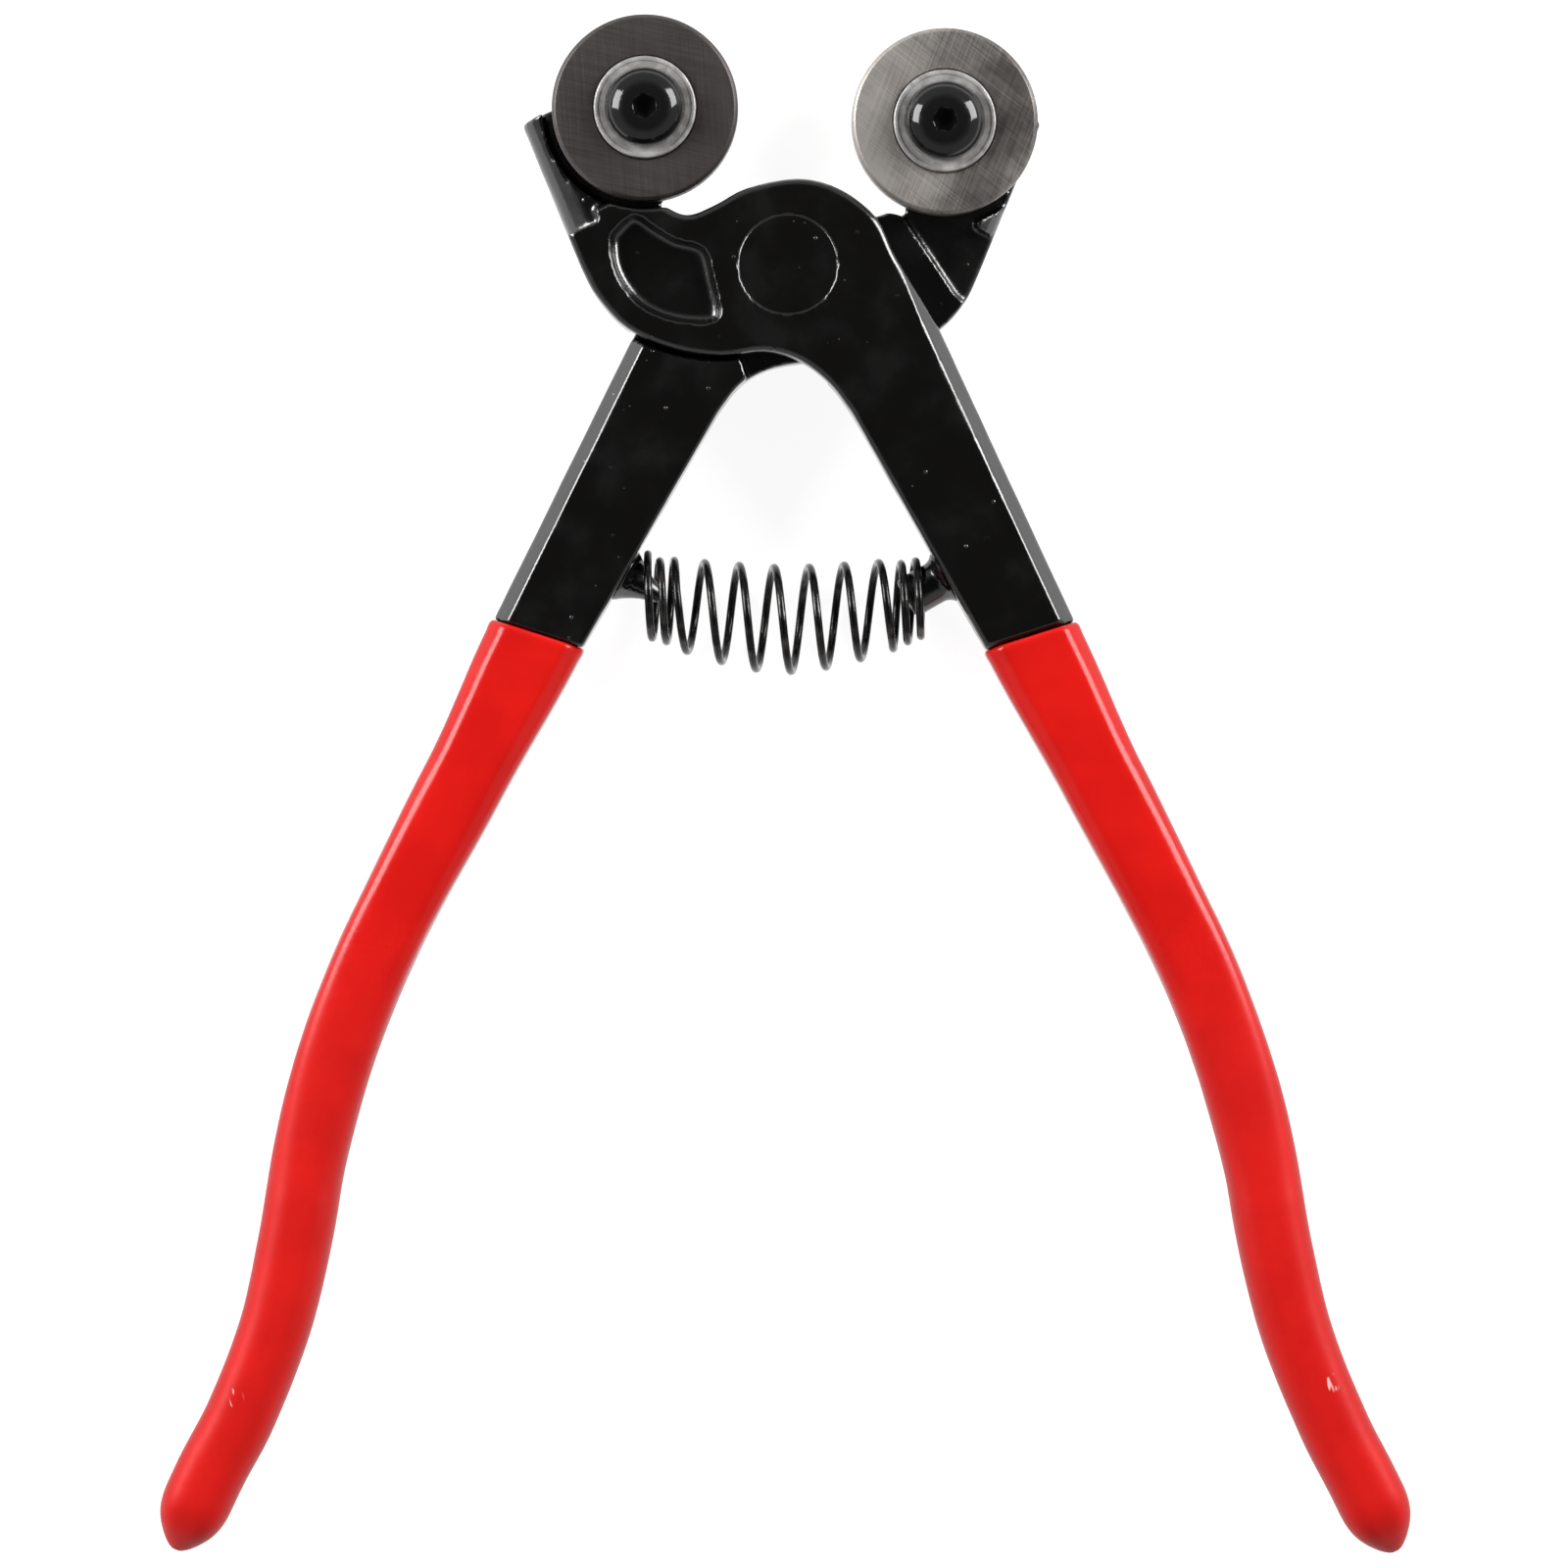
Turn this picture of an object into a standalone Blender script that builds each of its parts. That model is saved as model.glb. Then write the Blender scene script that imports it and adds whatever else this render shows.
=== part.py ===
"""Mosaic glass nippers: two lapped levers, a pair of carbide wheels, a return spring and dipped grips.

The tool lies flat on its back. The levers lie in the XY plane with the wheels towards +Y, and +Z is the
axis of the pivot. The origin is on the pivot axis, in the plane of the back faces that the tool lies on.
Lengths are in metres.
"""
import math

import bmesh
import bpy
from mathutils import Matrix, Vector

MM = 0.001
GAP = 0.3 * MM  # between pieces that touch on the real tool

# Head and lap joint
HEAD_HALF = 6.6 * MM  # thickness of each lever in the lap
LAP_GAP = 0.3 * MM  # between the two lap faces
HEAD_RADIUS = 10.2 * MM  # round top of the front lever's head
REAR_HEAD_RADIUS = 9.9 * MM  # the rear lever's head, hidden behind it
EDGE_BEVEL = 1.5 * MM  # broken edges of the forgings
LAP_CLEARANCE = 0.35 * MM  # side clearance round the other lever as it swings
OPEN_STOP = math.radians(1.0)  # play left before the lap shoulders meet

# Cutting wheels
WHEEL_DIAMETER = 22.0 * MM
WHEEL_THICKNESS = 6.0 * MM
WHEEL_CHAMFER = 0.45 * MM
WHEEL_BORE = 8.6 * MM
WHEEL_REACH = 25.2 * MM  # pivot axis to wheel axis
LEFT_WHEEL_ANGLE = math.radians(132.1)  # from +X, with the tool open
RIGHT_WHEEL_ANGLE = math.radians(42.7)
WHEEL_MEETING_GAP = 0.3 * MM  # between the wheels when the tool is shut

# Wheel seats
SEAT_MARGIN = 1.2 * MM  # spot face beyond the rim of the wheel
SEAT_LIP_ROUND = 4.0 * MM  # round on the outer front edge of each jaw
JAW_BOSS_RADIUS = 8.2 * MM  # seat plate behind the wheel, set back from its cutting edge
LEFT_JAW_BEYOND = 3.6 * MM  # outer corner of each jaw, out from the wheel's rim
LEFT_JAW_DROP = 1.8 * MM  # below the wheel's axis
RIGHT_JAW_BEYOND = 0.5 * MM
RIGHT_JAW_RISE = 0.1 * MM
SEAT_SLOPE = 1.6 * MM  # lean of the step up to the front lever's face

# Wheel fastening
SCREW_DIAMETER = 5.0 * MM
SCREW_HEAD_DIAMETER = 9.2 * MM
SCREW_HEAD_HEIGHT = 2.7 * MM
SCREW_SOCKET = 3.0 * MM  # across the flats
SCREW_SOCKET_DEPTH = 1.5 * MM
BUSH_FLANGE_DIAMETER = 12.1 * MM
BUSH_FLANGE_THICKNESS = 0.8 * MM
BUSH_RECESS = 0.5 * MM  # counterbore in the wheel's face that takes the flange
BUSH_RIM = 0.3 * MM

# Pivot rivet
RIVET_DIAMETER = 8.0 * MM
RIVET_HEAD_DIAMETER = 10.9 * MM
RIVET_HEAD_THICKNESS = 1.3 * MM
RIVET_DOME = 0.15 * MM

# Shanks
SHANK_WIDTH = 11.0 * MM  # where the grip starts
SHANK_DROP = 1.45 * MM  # each face of a shank, set in from the faces of the head
SHANK_DRAFT_WIDTH = 1.6 * MM  # the outer side of a shank leans in by this much towards each face
SHANK_DRAFT_SHARE = 0.45  # part of the half thickness that leans
FRONT_CROTCH = (7.5 * MM, -17.4 * MM)  # where each shank's straight inner side starts
REAR_CROTCH = (-8.2 * MM, -17.3 * MM)
LAP_RAMP = (14.0 * MM, 38.0 * MM)  # the lever's own outer face slopes down between these distances
FAR_RAMP = (3.0 * MM, 10.0 * MM)  # its other face

# Grips
GRIP_LENGTH = 116.0 * MM
GRIP_WALL = 0.9 * MM
GRIP_SWELL = 1.0 * MM  # thickness of the grip's mouth beyond the shank's
GRIP_THINNING = 1.8 * MM  # from the mouth to the tip
GRIP_PROUD = 0.5 * MM  # width of the grip's mouth beyond the shank's
GRIP_WIDTHS = (SHANK_WIDTH + GRIP_PROUD, 9.9 * MM, 9.2 * MM, 9.1 * MM, 8.7 * MM, 8.3 * MM, 8.3 * MM)
GRIP_TIP_ROUND = 7.0 * MM  # length of the rounded end
GRIP_MOUTH_SKEW = math.radians(9.0)  # the dip line isn't square to the shank
GRIP_MOUTH_RUN = 16.0 * MM
LEFT_MOUTH = (-29.6 * MM, -43.7 * MM)
RIGHT_MOUTH = (28.75 * MM, -43.95 * MM)

# Return spring and the studs that hold it
STUD_DIAMETER = 5.0 * MM
STUD_LENGTH = 5.2 * MM
STUD_TENON_DIAMETER = 3.6 * MM
STUD_TENON_LENGTH = 4.0 * MM
STUD_FOOT = 0.8 * MM  # flare at the foot
STUD_TIP_DIAMETER = 1.8 * MM  # free end of the tapered stud
STUD_ABOVE_GRIP = 9.9 * MM
SPRING_WIRE = 0.95 * MM
SPRING_END_PLAY = 1.7 * MM  # between the coils' inside and the stud, all round
SPRING_END_RADIUS = STUD_DIAMETER / 2 + SPRING_END_PLAY + SPRING_WIRE / 2  # to the middle of the wire
SPRING_SHOULDER_RADIUS = SPRING_END_RADIUS + 0.5 * MM
SPRING_UNDERSIDE_GAP = 0.15 * MM  # the barrel clears the plane that the tool lies on
SPRING_SAG = 2.1 * MM
SPRING_CLOSE_TURNS = 2.4  # wound on each stud
SPRING_FREE_TURNS = 6.2
SPRING_OPENING_TURNS = 0.8  # last part of the close turns, which widens to the shoulder
SPRING_TURN_START = 0.2  # part of a turn, which sets where the coils' tops fall
SPRING_CLOSE_PITCH = 1.75 * MM

# Worked out from the sizes above
MIDDLE = HEAD_HALF + LAP_GAP / 2
TOTAL = 2 * MIDDLE
WHEEL_RADIUS = WHEEL_DIAMETER / 2
SEAT_FLOOR = MIDDLE - WHEEL_THICKNESS / 2 - GAP
WHEEL_FRONT = MIDDLE + WHEEL_THICKNESS / 2
SPREAD = LEFT_WHEEL_ANGLE - RIGHT_WHEEL_ANGLE
CLOSING = SPREAD - 2 * math.asin((WHEEL_RADIUS + WHEEL_MEETING_GAP / 2) / WHEEL_REACH)
SHANK_THICKNESS = TOTAL - 2 * SHANK_DROP
GRIP_THICKNESS = SHANK_THICKNESS + GRIP_SWELL
GRIP_TIP_THICKNESS = GRIP_THICKNESS - GRIP_THINNING
SPRING_MIDDLE_RADIUS = MIDDLE - SPRING_WIRE / 2 - SPRING_UNDERSIDE_GAP
SPRING_HANG = SPRING_END_PLAY / 4  # the coils hang on the studs

LEFT_JAW_CORNER = (-WHEEL_RADIUS - LEFT_JAW_BEYOND, -LEFT_JAW_DROP)  # from the wheel's axis
RIGHT_JAW_CORNER = (WHEEL_RADIUS + RIGHT_JAW_BEYOND, RIGHT_JAW_RISE)

FAR = 45.0 * MM  # cutters reach past everything they cut
ROUND_SIDES = 48
BUSH_SIDES = 36
SMALL_SIDES = 32


# ---------------------------------------------------------------- geometry helpers
def at(x, y):
    """A point in the plane of the levers, given in millimetres from the pivot."""
    return Vector((x * MM, y * MM))


def polar(radius, angle):
    """A point at a distance and an angle from the pivot."""
    return Vector((radius * math.cos(angle), radius * math.sin(angle)))


def arc(centre, radius, start, end, steps):
    """Points on a circle between two angles in degrees, both ends included."""
    turn = math.radians(end - start) / steps
    return [centre + polar(radius, math.radians(start) + i * turn) for i in range(steps + 1)]


def curve(points, steps):
    """A smooth curve through the points, sampled a few times between each two."""
    padded = [2 * points[0] - points[1], *points, 2 * points[-1] - points[-2]]
    found = []
    for a, b, c, d in zip(padded, padded[1:], padded[2:], padded[3:]):
        for i in range(steps):
            t = i / steps
            bend = (2 * a - 5 * b + 4 * c - d) * t * t + (3 * b - a - 3 * c + d) * t ** 3
            found.append(b + ((c - a) * t + bend) / 2)
    return found + [points[-1].copy()]


def blend(a, b, share):
    """The value that lies a share of the way from a to b."""
    return a + (b - a) * share


def through(values, share):
    """A value read smoothly from a row of evenly spaced ones."""
    place = min(max(share, 0.0), 1.0) * (len(values) - 1)
    index = min(int(place), len(values) - 2)
    part = place - index
    return blend(values[index], values[index + 1], part * part * (3 - 2 * part))


def centre_of(wheel_angle):
    """The axis of a wheel in the plane of the levers."""
    return polar(WHEEL_REACH, wheel_angle)


# ---------------------------------------------------------------- mesh helpers
def loft(bm, rings, cap_start=True, cap_end=True):
    """Joins rings of as many points each into a tube, closed at the ends asked for."""
    rows = [[bm.verts.new(point) for point in ring] for ring in rings]
    for low, high in zip(rows, rows[1:]):
        for i, corner in enumerate(low):
            j = (i + 1) % len(low)
            bm.faces.new((corner, low[j], high[j], high[i]))
    if cap_start:
        bm.faces.new(list(reversed(rows[0])))
    if cap_end:
        bm.faces.new(rows[-1])
    return rows


def finish_mesh(bm, name):
    """Turns a bmesh into a mesh with every face pointing outwards."""
    bmesh.ops.recalc_face_normals(bm, faces=bm.faces)
    mesh = bpy.data.meshes.new(name)
    bm.to_mesh(mesh)
    bm.free()
    return mesh


def add_object(name, mesh, material=None, origin=None, smooth_below=35.0):
    """Links an object, with its origin moved to a point given in the tool's frame."""
    obj = bpy.data.objects.new(name, mesh)
    bpy.context.scene.collection.objects.link(obj)
    if origin is not None:
        mesh.transform(Matrix.Translation(-origin))
        obj.location = origin
    if material is not None:
        mesh.materials.append(material)
    mesh.shade_smooth()
    mesh.set_sharp_from_angle(angle=math.radians(smooth_below))
    return obj


def prism(outline, low, high, upper=None):
    """An upright solid of an outline. Its top may have another outline, for sides that lean."""
    bm = bmesh.new()
    upper = upper or outline
    loft(bm, [[(p.x, p.y, low) for p in outline], [(p.x, p.y, high) for p in upper]])
    bmesh.ops.recalc_face_normals(bm, faces=bm.faces)
    return bm


def break_edges(bm, width, segments=2):
    """Bevels the rims where the broad faces meet the sides."""
    rims = []
    for edge in bm.edges:
        steep = sorted(abs(face.normal.z) for face in edge.link_faces)
        if len(steep) == 2 and steep[0] < 0.5 < steep[1]:
            rims.append(edge)
    bmesh.ops.bevel(bm, geom=rims, offset=width, segments=segments, profile=0.5, affect="EDGES",
                    clamp_overlap=True)


def slope_down(bm, along, stations, side, drop):
    """Lowers one broad face of a shank in a straight ramp between two distances along it."""
    start, end = stations
    for station in stations:
        everything = bm.verts[:] + bm.edges[:] + bm.faces[:]
        bmesh.ops.bisect_plane(bm, geom=everything, plane_co=along * station, plane_no=along)
    for vert in bm.verts:
        if (vert.co.z - MIDDLE) * side > 0:
            share = (vert.co.dot(along) - start) / (end - start)
            vert.co.z -= side * drop * min(max(share, 0.0), 1.0)


def cutter(bm, name):
    """A solid that only cuts, so it is never part of the tool."""
    obj = add_object(name, finish_mesh(bm, name))
    obj.hide_render = True
    obj.display_type = "WIRE"
    return obj


def combine(obj, operation, other):
    """Adds a Boolean modifier to an object."""
    modifier = obj.modifiers.new(other.name, "BOOLEAN")
    modifier.operation = operation
    modifier.solver = "EXACT"
    modifier.object = other


def turned(profile, sides):
    """A closed solid of revolution about Z. The profile is a closed loop of (radius, height)."""
    bm = bmesh.new()
    step = math.tau / sides
    columns = []
    for i in range(sides):
        spin = Matrix.Rotation(i * step, 3, "Z")
        columns.append([bm.verts.new(spin @ Vector((r, 0, z))) for r, z in profile])
    for i, column in enumerate(columns):
        following = columns[(i + 1) % sides]
        for j in range(len(profile)):
            k = (j + 1) % len(profile)
            bm.faces.new((column[j], column[k], following[k], following[j]))
    bmesh.ops.remove_doubles(bm, verts=bm.verts, dist=0.001 * MM)
    return bm


def paint(name, colour, roughness, metallic):
    """A plain finish for one kind of surface."""
    material = bpy.data.materials.new(name)
    material.use_nodes = True
    shader = material.node_tree.nodes["Principled BSDF"]
    shader.inputs["Base Color"].default_value = (*colour, 1.0)
    shader.inputs["Roughness"].default_value = roughness
    shader.inputs["Metallic"].default_value = metallic
    return material


# ---------------------------------------------------------------- handles
class Handle:
    """The course of one handle, from where its grip starts to the tip, with its width and thickness."""

    def __init__(self, mouth, points, side):
        self.side = side  # +1 on the right, -1 on the left
        listed = [Vector(mouth)] + points
        lengths = sum((b - a).length for a, b in zip(listed, listed[1:]))
        stretch = GRIP_LENGTH / lengths
        self.points = [listed[0] + (p - listed[0]) * stretch for p in listed]
        self.course = curve(self.points, 6)
        self.along = [0.0]
        for a, b in zip(self.course, self.course[1:]):
            self.along.append(self.along[-1] + (b - a).length)
        self.length = self.along[-1]

    def point(self, distance):
        """The middle of the handle at a distance from the mouth of the grip, and its direction."""
        index = 0
        while index < len(self.along) - 2 and self.along[index + 1] < distance:
            index += 1
        a, b = self.course[index], self.course[index + 1]
        run = self.along[index + 1] - self.along[index]
        before = self.course[max(index - 1, 0)]
        after = self.course[min(index + 2, len(self.course) - 1)]
        share = (distance - self.along[index]) / run
        forward = blend((b - before).normalized(), (after - a).normalized(), min(max(share, 0.0), 1.0))
        return a + (b - a) * share, forward.normalized()

    def across(self, distance):
        """Unit vector across the handle, to its right when looking towards the wheels."""
        forward = self.point(distance)[1]
        skew = self.side * GRIP_MOUTH_SKEW * max(0.0, 1.0 - max(distance, 0.0) / GRIP_MOUTH_RUN)
        sideways = Vector((-forward.y, forward.x))
        return Matrix.Rotation(-skew, 2) @ sideways

    def section(self, distance, inset, sides):
        """A ring of points round the handle, set in from the outside of the grip."""
        share = distance / self.length
        tip = (distance - (self.length - GRIP_TIP_ROUND)) / (GRIP_TIP_ROUND - inset)
        tip = min(max(tip, 0.0), 0.985)
        rounding = math.sqrt(1.0 - tip * tip)
        wide = (through(GRIP_WIDTHS, share) / 2 - inset) * rounding
        thick = (blend(GRIP_THICKNESS, GRIP_TIP_THICKNESS, share ** 2) / 2 - inset) * rounding
        power = 2 / blend(4.4, 2.3, min(share * 1.6, 1.0))
        middle, _ = self.point(distance)
        across = self.across(distance)
        ring = []
        for i in range(sides):
            angle = math.tau * (i + 0.5) / sides
            c, s = math.cos(angle), math.sin(angle)
            out = wide * math.copysign(abs(c) ** power, c)
            up = thick * math.copysign(abs(s) ** power, s)
            spot = middle + across * out
            ring.append((spot.x, spot.y, MIDDLE + up))
        return ring

    def rings(self, start, inset, sides, spacing):
        """Sections from a start distance to the rounded tip."""
        straight = self.length - GRIP_TIP_ROUND
        count = max(4, round((straight - start) / spacing))
        stations = [start + (straight - start) * i / count for i in range(count)]
        reach = GRIP_TIP_ROUND - inset
        stations += [straight + reach * math.sin(math.radians(a)) for a in (0, 20, 40, 60, 80)]
        return [self.section(s, inset, sides) for s in stations]

    def shank_ends(self):
        """Outer and inner corner of the shank where it meets the grip, a gap short of it."""
        middle, forward = self.point(0.0)
        across = self.across(0.0) * SHANK_WIDTH / 2
        stop = middle - forward * GAP
        return stop + across * self.side, stop - across * self.side


def left_handle():
    """The handle of the rear lever."""
    return Handle(LEFT_MOUTH, [
        at(-37.3, -58.9), at(-44.6, -72.8), at(-49.6, -83.2), at(-53.5, -93.6), at(-56.25, -104.0),
        at(-58.1, -114.5), at(-60.5, -124.9), at(-64.5, -135.3), at(-68.1, -142.2), at(-71.9, -150.5),
    ], -1)


def right_handle():
    """The handle of the front lever."""
    return Handle(RIGHT_MOUTH, [
        at(36.3, -58.9), at(43.5, -72.8), at(48.5, -83.2), at(52.4, -93.6), at(55.2, -104.0),
        at(57.1, -114.5), at(59.7, -124.9), at(63.9, -135.3), at(67.4, -142.2), at(70.8, -149.3),
    ], 1)


# ---------------------------------------------------------------- lever outlines
def seat_plate(centre, start, end):
    """The free edge of a jaw behind its wheel, round the screw."""
    return arc(centre, JAW_BOSS_RADIUS, start, end, 14)


def front_outline(handle):
    """The front lever seen from the front: left jaw, head and right shank, anticlockwise."""
    centre = centre_of(LEFT_WHEEL_ANGLE)
    outer_end, inner_end = handle.shank_ends()
    jaw_corner = centre + Vector(LEFT_JAW_CORNER)
    belly = curve([
        at(-24.3, -0.5), at(-22.5, -3.8), at(-18.9, -7.6), at(-13.6, -9.95), at(-7.9, -10.8), at(-2.8, -10.2),
        at(1.4, -11.3), at(5.0, -14.1), Vector(FRONT_CROTCH),
    ], 4)
    head = curve([
        at(17.9, -7.6), at(12.9, 0.6), polar(HEAD_RADIUS * 1.16, math.radians(27)),
        polar(HEAD_RADIUS * 1.06, math.radians(55)), polar(HEAD_RADIUS, math.radians(83)),
        polar(HEAD_RADIUS, math.radians(118)), at(-8.6, 7.0), at(-12.0, 5.8), at(-15.3, 7.3),
    ], 4)
    boss = seat_plate(centre, -50, 168)
    crown = curve([centre + at(-10.2, 0.35), centre + at(-12.3, -0.55), jaw_corner], 2)
    return crown + belly + [inner_end, outer_end] + head + boss


def rear_outline(handle):
    """The rear lever seen from the front: right jaw, head and left shank, anticlockwise."""
    centre = centre_of(RIGHT_WHEEL_ANGLE)
    outer_end, inner_end = handle.shank_ends()
    jaw_corner = centre + Vector(RIGHT_JAW_CORNER)
    crotch = curve([
        Vector(REAR_CROTCH), at(-5.9, -14.3), at(-3.2, -12.5), at(0.4, -11.5), at(5.0, -11.1), at(10.5, -10.7),
        at(15.2, -9.2), at(18.9, -6.6), at(21.2, -3.7), at(22.7, -0.5),
    ], 4)
    crown = curve([jaw_corner, centre + at(9.6, 1.2), centre + at(7.9, 1.9)], 2)
    boss = seat_plate(centre, 15, 230)
    corner = [at(14.1, 6.1), at(11.8, 6.4), at(10.4, 5.9)]
    head = arc(Vector((0.0, 0.0)), REAR_HEAD_RADIUS, 48, 150, 12)
    shoulder = curve([at(-10.3, 3.2), at(-12.9, 0.6), at(-17.9, -7.6)], 2)
    return crotch + crown + boss + corner + head + shoulder + [outer_end, inner_end]


# ---------------------------------------------------------------- lap joint
def way_out(outline, angle):
    """How far a ray from the pivot runs inside an outline."""
    heading = polar(1.0, angle)
    nearest = FAR
    for a, b in zip(outline, outline[1:] + outline[:1]):
        side = b - a
        spread = heading.x * side.y - heading.y * side.x
        if abs(spread) < 1e-12:
            continue
        run = (a.x * side.y - a.y * side.x) / spread
        share = (a.x * heading.y - a.y * heading.x) / spread
        if run > 0 and abs(share - 0.5) < 0.5 + 1e-6:
            nearest = min(nearest, run)
    return nearest


def swept_outline(outline, turns):
    """The space that the other lever's head needs at every angle of the pivot, with clearance."""
    steps = 240
    reach = [way_out(outline, math.tau * i / steps) for i in range(steps)]
    first, last = (round(turn / math.tau * steps) for turn in turns)
    found = []
    for i in range(steps):
        widest = max(reach[(i - turn) % steps] for turn in range(first, last + 1))
        found.append(polar(widest + LAP_CLEARANCE, math.tau * i / steps))
    return found


# ---------------------------------------------------------------- levers
def round_over(start, end, top, name):
    """A cutter that rounds the straight front edge of a jaw between two points."""
    run = (end - start).normalized()
    outward = Vector((run.y, -run.x))
    if outward.dot(start) < 0:
        outward = -outward
    radius = SEAT_LIP_ROUND
    profile = [(-radius + radius * math.cos(a), top - radius + radius * math.sin(a))
               for a in (math.radians(15 * i) for i in range(7))]
    profile += [(-radius, FAR), (radius, FAR), (radius, top - radius)]
    bm = bmesh.new()
    rings = []
    for place in (start - run * radius, end):
        rings.append([(place.x + outward.x * d, place.y + outward.y * d, z) for d, z in profile])
    loft(bm, rings)
    return cutter(bm, name)


def drill(centre, diameter, low, high, name):
    """A cutter for a round hole along Z."""
    bm = prism(arc(centre, diameter / 2, 0, 360 - 360 / SMALL_SIDES, SMALL_SIDES - 1), low, high)
    return cutter(bm, name)


def spot_face(centre, name):
    """A cutter for the round seat behind a wheel."""
    radius = WHEEL_RADIUS + SEAT_MARGIN
    bm = prism(arc(centre, radius, 0, 360 - 360 / ROUND_SIDES, ROUND_SIDES - 1), SEAT_FLOOR, FAR)
    return cutter(bm, name)


def draft_side(line, along, ramp, side, name):
    """A cutter that leans the outer side of a shank in towards one of its faces, from nothing at its start."""
    start, end = ramp
    half = SHANK_THICKNESS / 2
    rings = []
    for i, place in enumerate(line):
        width = SHANK_DRAFT_WIDTH * (1.0 if i else 0.08)
        run = (line[min(i + 1, len(line) - 1)] - line[max(i - 1, 0)]).normalized()
        outward = Vector((run.y, -run.x))
        if outward.dot(place) < 0:
            outward = -outward
        lowered = min(max((place.dot(along) - start) / (end - start), 0.0), 1.0)
        face = MIDDLE + side * (TOTAL / 2 - SHANK_DROP * lowered)
        slope = half * SHANK_DRAFT_SHARE / SHANK_DRAFT_WIDTH
        beyond, over = MM, MIDDLE + side * FAR
        low = face - side * slope * (width + beyond)
        profile = [(-width, face), (-width, over), (beyond, over), (beyond, low)]
        rings.append([(place.x + outward.x * d, place.y + outward.y * d, z) for d, z in profile])
    bm = bmesh.new()
    loft(bm, rings)
    return cutter(bm, name)


def draft_shank(lever, name, handle, top, shank_head, ramps):
    """Leans the outer side of a shank from its first corners down to the grip, towards both faces."""
    mouth, forward = handle.point(0.0)
    along = Vector((mouth.x - shank_head.x, mouth.y - shank_head.y)).normalized()
    outer_end, _ = handle.shank_ends()
    shoulder = top[-1]
    share = (LAP_RAMP[1] - shoulder.dot(along)) / (outer_end - shoulder).dot(along)
    line = top + [blend(shoulder, outer_end, share), outer_end + forward * GAP / 2]
    combine(lever, "DIFFERENCE", draft_side(line, along, ramps[0], 1, name + "_front_draft"))
    back = [shoulder, blend(shoulder, outer_end, 0.25)] + line[-2:]
    combine(lever, "DIFFERENCE", draft_side(back, along, ramps[1], -1, name + "_back_draft"))


def lever_blank(name, outline, handle, shank_head, own_side, material):
    """A forged lever before machining: outline, sloped shank, broken edges and the tang in the grip."""
    bm = prism(outline, 0.0, TOTAL)
    mouth, _ = handle.point(0.0)
    along = Vector((mouth.x - shank_head.x, mouth.y - shank_head.y, 0.0)).normalized()
    slope_down(bm, along, LAP_RAMP, own_side, SHANK_DROP)
    slope_down(bm, along, FAR_RAMP, -own_side, SHANK_DROP)
    break_edges(bm, EDGE_BEVEL)
    lever = add_object(name, finish_mesh(bm, name), material, smooth_below=25.0)
    tang = bmesh.new()
    loft(tang, handle.rings(-4.0 * MM, GRIP_WALL + GAP, 12, 11.0 * MM))
    combine(lever, "UNION", cutter(tang, name + "_tang"))
    return lever


def cut_pivot(lever, name, face, inward):
    """The hole for the rivet and the counterbore for its head."""
    centre = Vector((0.0, 0.0))
    combine(lever, "DIFFERENCE", drill(centre, RIVET_DIAMETER + 2 * GAP, -FAR, FAR, name + "_pivot_hole"))
    depth = face + inward * (RIVET_HEAD_THICKNESS + GAP)
    low, high = (depth, FAR) if inward < 0 else (-FAR, depth)
    head = drill(centre, RIVET_HEAD_DIAMETER + 2 * GAP, low, high, name + "_rivet_seat")
    combine(lever, "DIFFERENCE", head)


def stud_frame(handle):
    """Where the spring's stud stands on a shank, and the direction that it points in."""
    _, inner_end = handle.shank_ends()
    root = Vector(FRONT_CROTCH if handle.side > 0 else REAR_CROTCH)
    upward = (root - inner_end).normalized()
    outward = Vector((upward.y, -upward.x)) * -handle.side
    return inner_end + upward * STUD_ABOVE_GRIP, outward


def along_axis(foot, outward):
    """A matrix that stands a turned piece on a shank's inner side."""
    place = Vector((foot.x, foot.y, MIDDLE))
    aim = Vector((outward.x, outward.y, 0.0)).to_track_quat("Z", "Y").to_matrix().to_4x4()
    return Matrix.Translation(place) @ aim


def cut_stud_hole(lever, name, handle):
    """The blind hole for the tenon of the spring's stud."""
    foot, outward = stud_frame(handle)
    radius = STUD_TENON_DIAMETER / 2 + GAP
    depth = STUD_TENON_LENGTH + 2 * GAP
    bm = turned([(0, -depth), (radius, -depth), (radius, EDGE_BEVEL), (0, EDGE_BEVEL)], 20)
    bmesh.ops.transform(bm, matrix=along_axis(foot, outward), verts=bm.verts)
    combine(lever, "DIFFERENCE", cutter(bm, name + "_stud_hole"))


def kidney_recess():
    """A cutter for the cast hollow in the front lever's jaw, with a rounded floor."""
    loop = curve([
        at(-20.9, 3.4), at(-20.6, 0.0), at(-19.2, -2.9), at(-16.9, -5.2), at(-13.4, -6.6), at(-9.4, -6.9),
        at(-8.0, -5.8), at(-8.8, -1.6), at(-9.9, 1.9), at(-13.2, 2.9), at(-15.6, 4.3), at(-18.2, 5.8),
        at(-20.9, 3.4),
    ], 3)[:-1]
    bm = prism(loop, TOTAL - 1.7 * MM, FAR)
    floor = [edge for edge in bm.edges if max(vert.co.z for vert in edge.verts) < TOTAL]
    bmesh.ops.bevel(bm, geom=floor, offset=1.1 * MM, segments=2, profile=0.5, affect="EDGES")
    return cutter(bm, "jaw_hollow")


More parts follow.
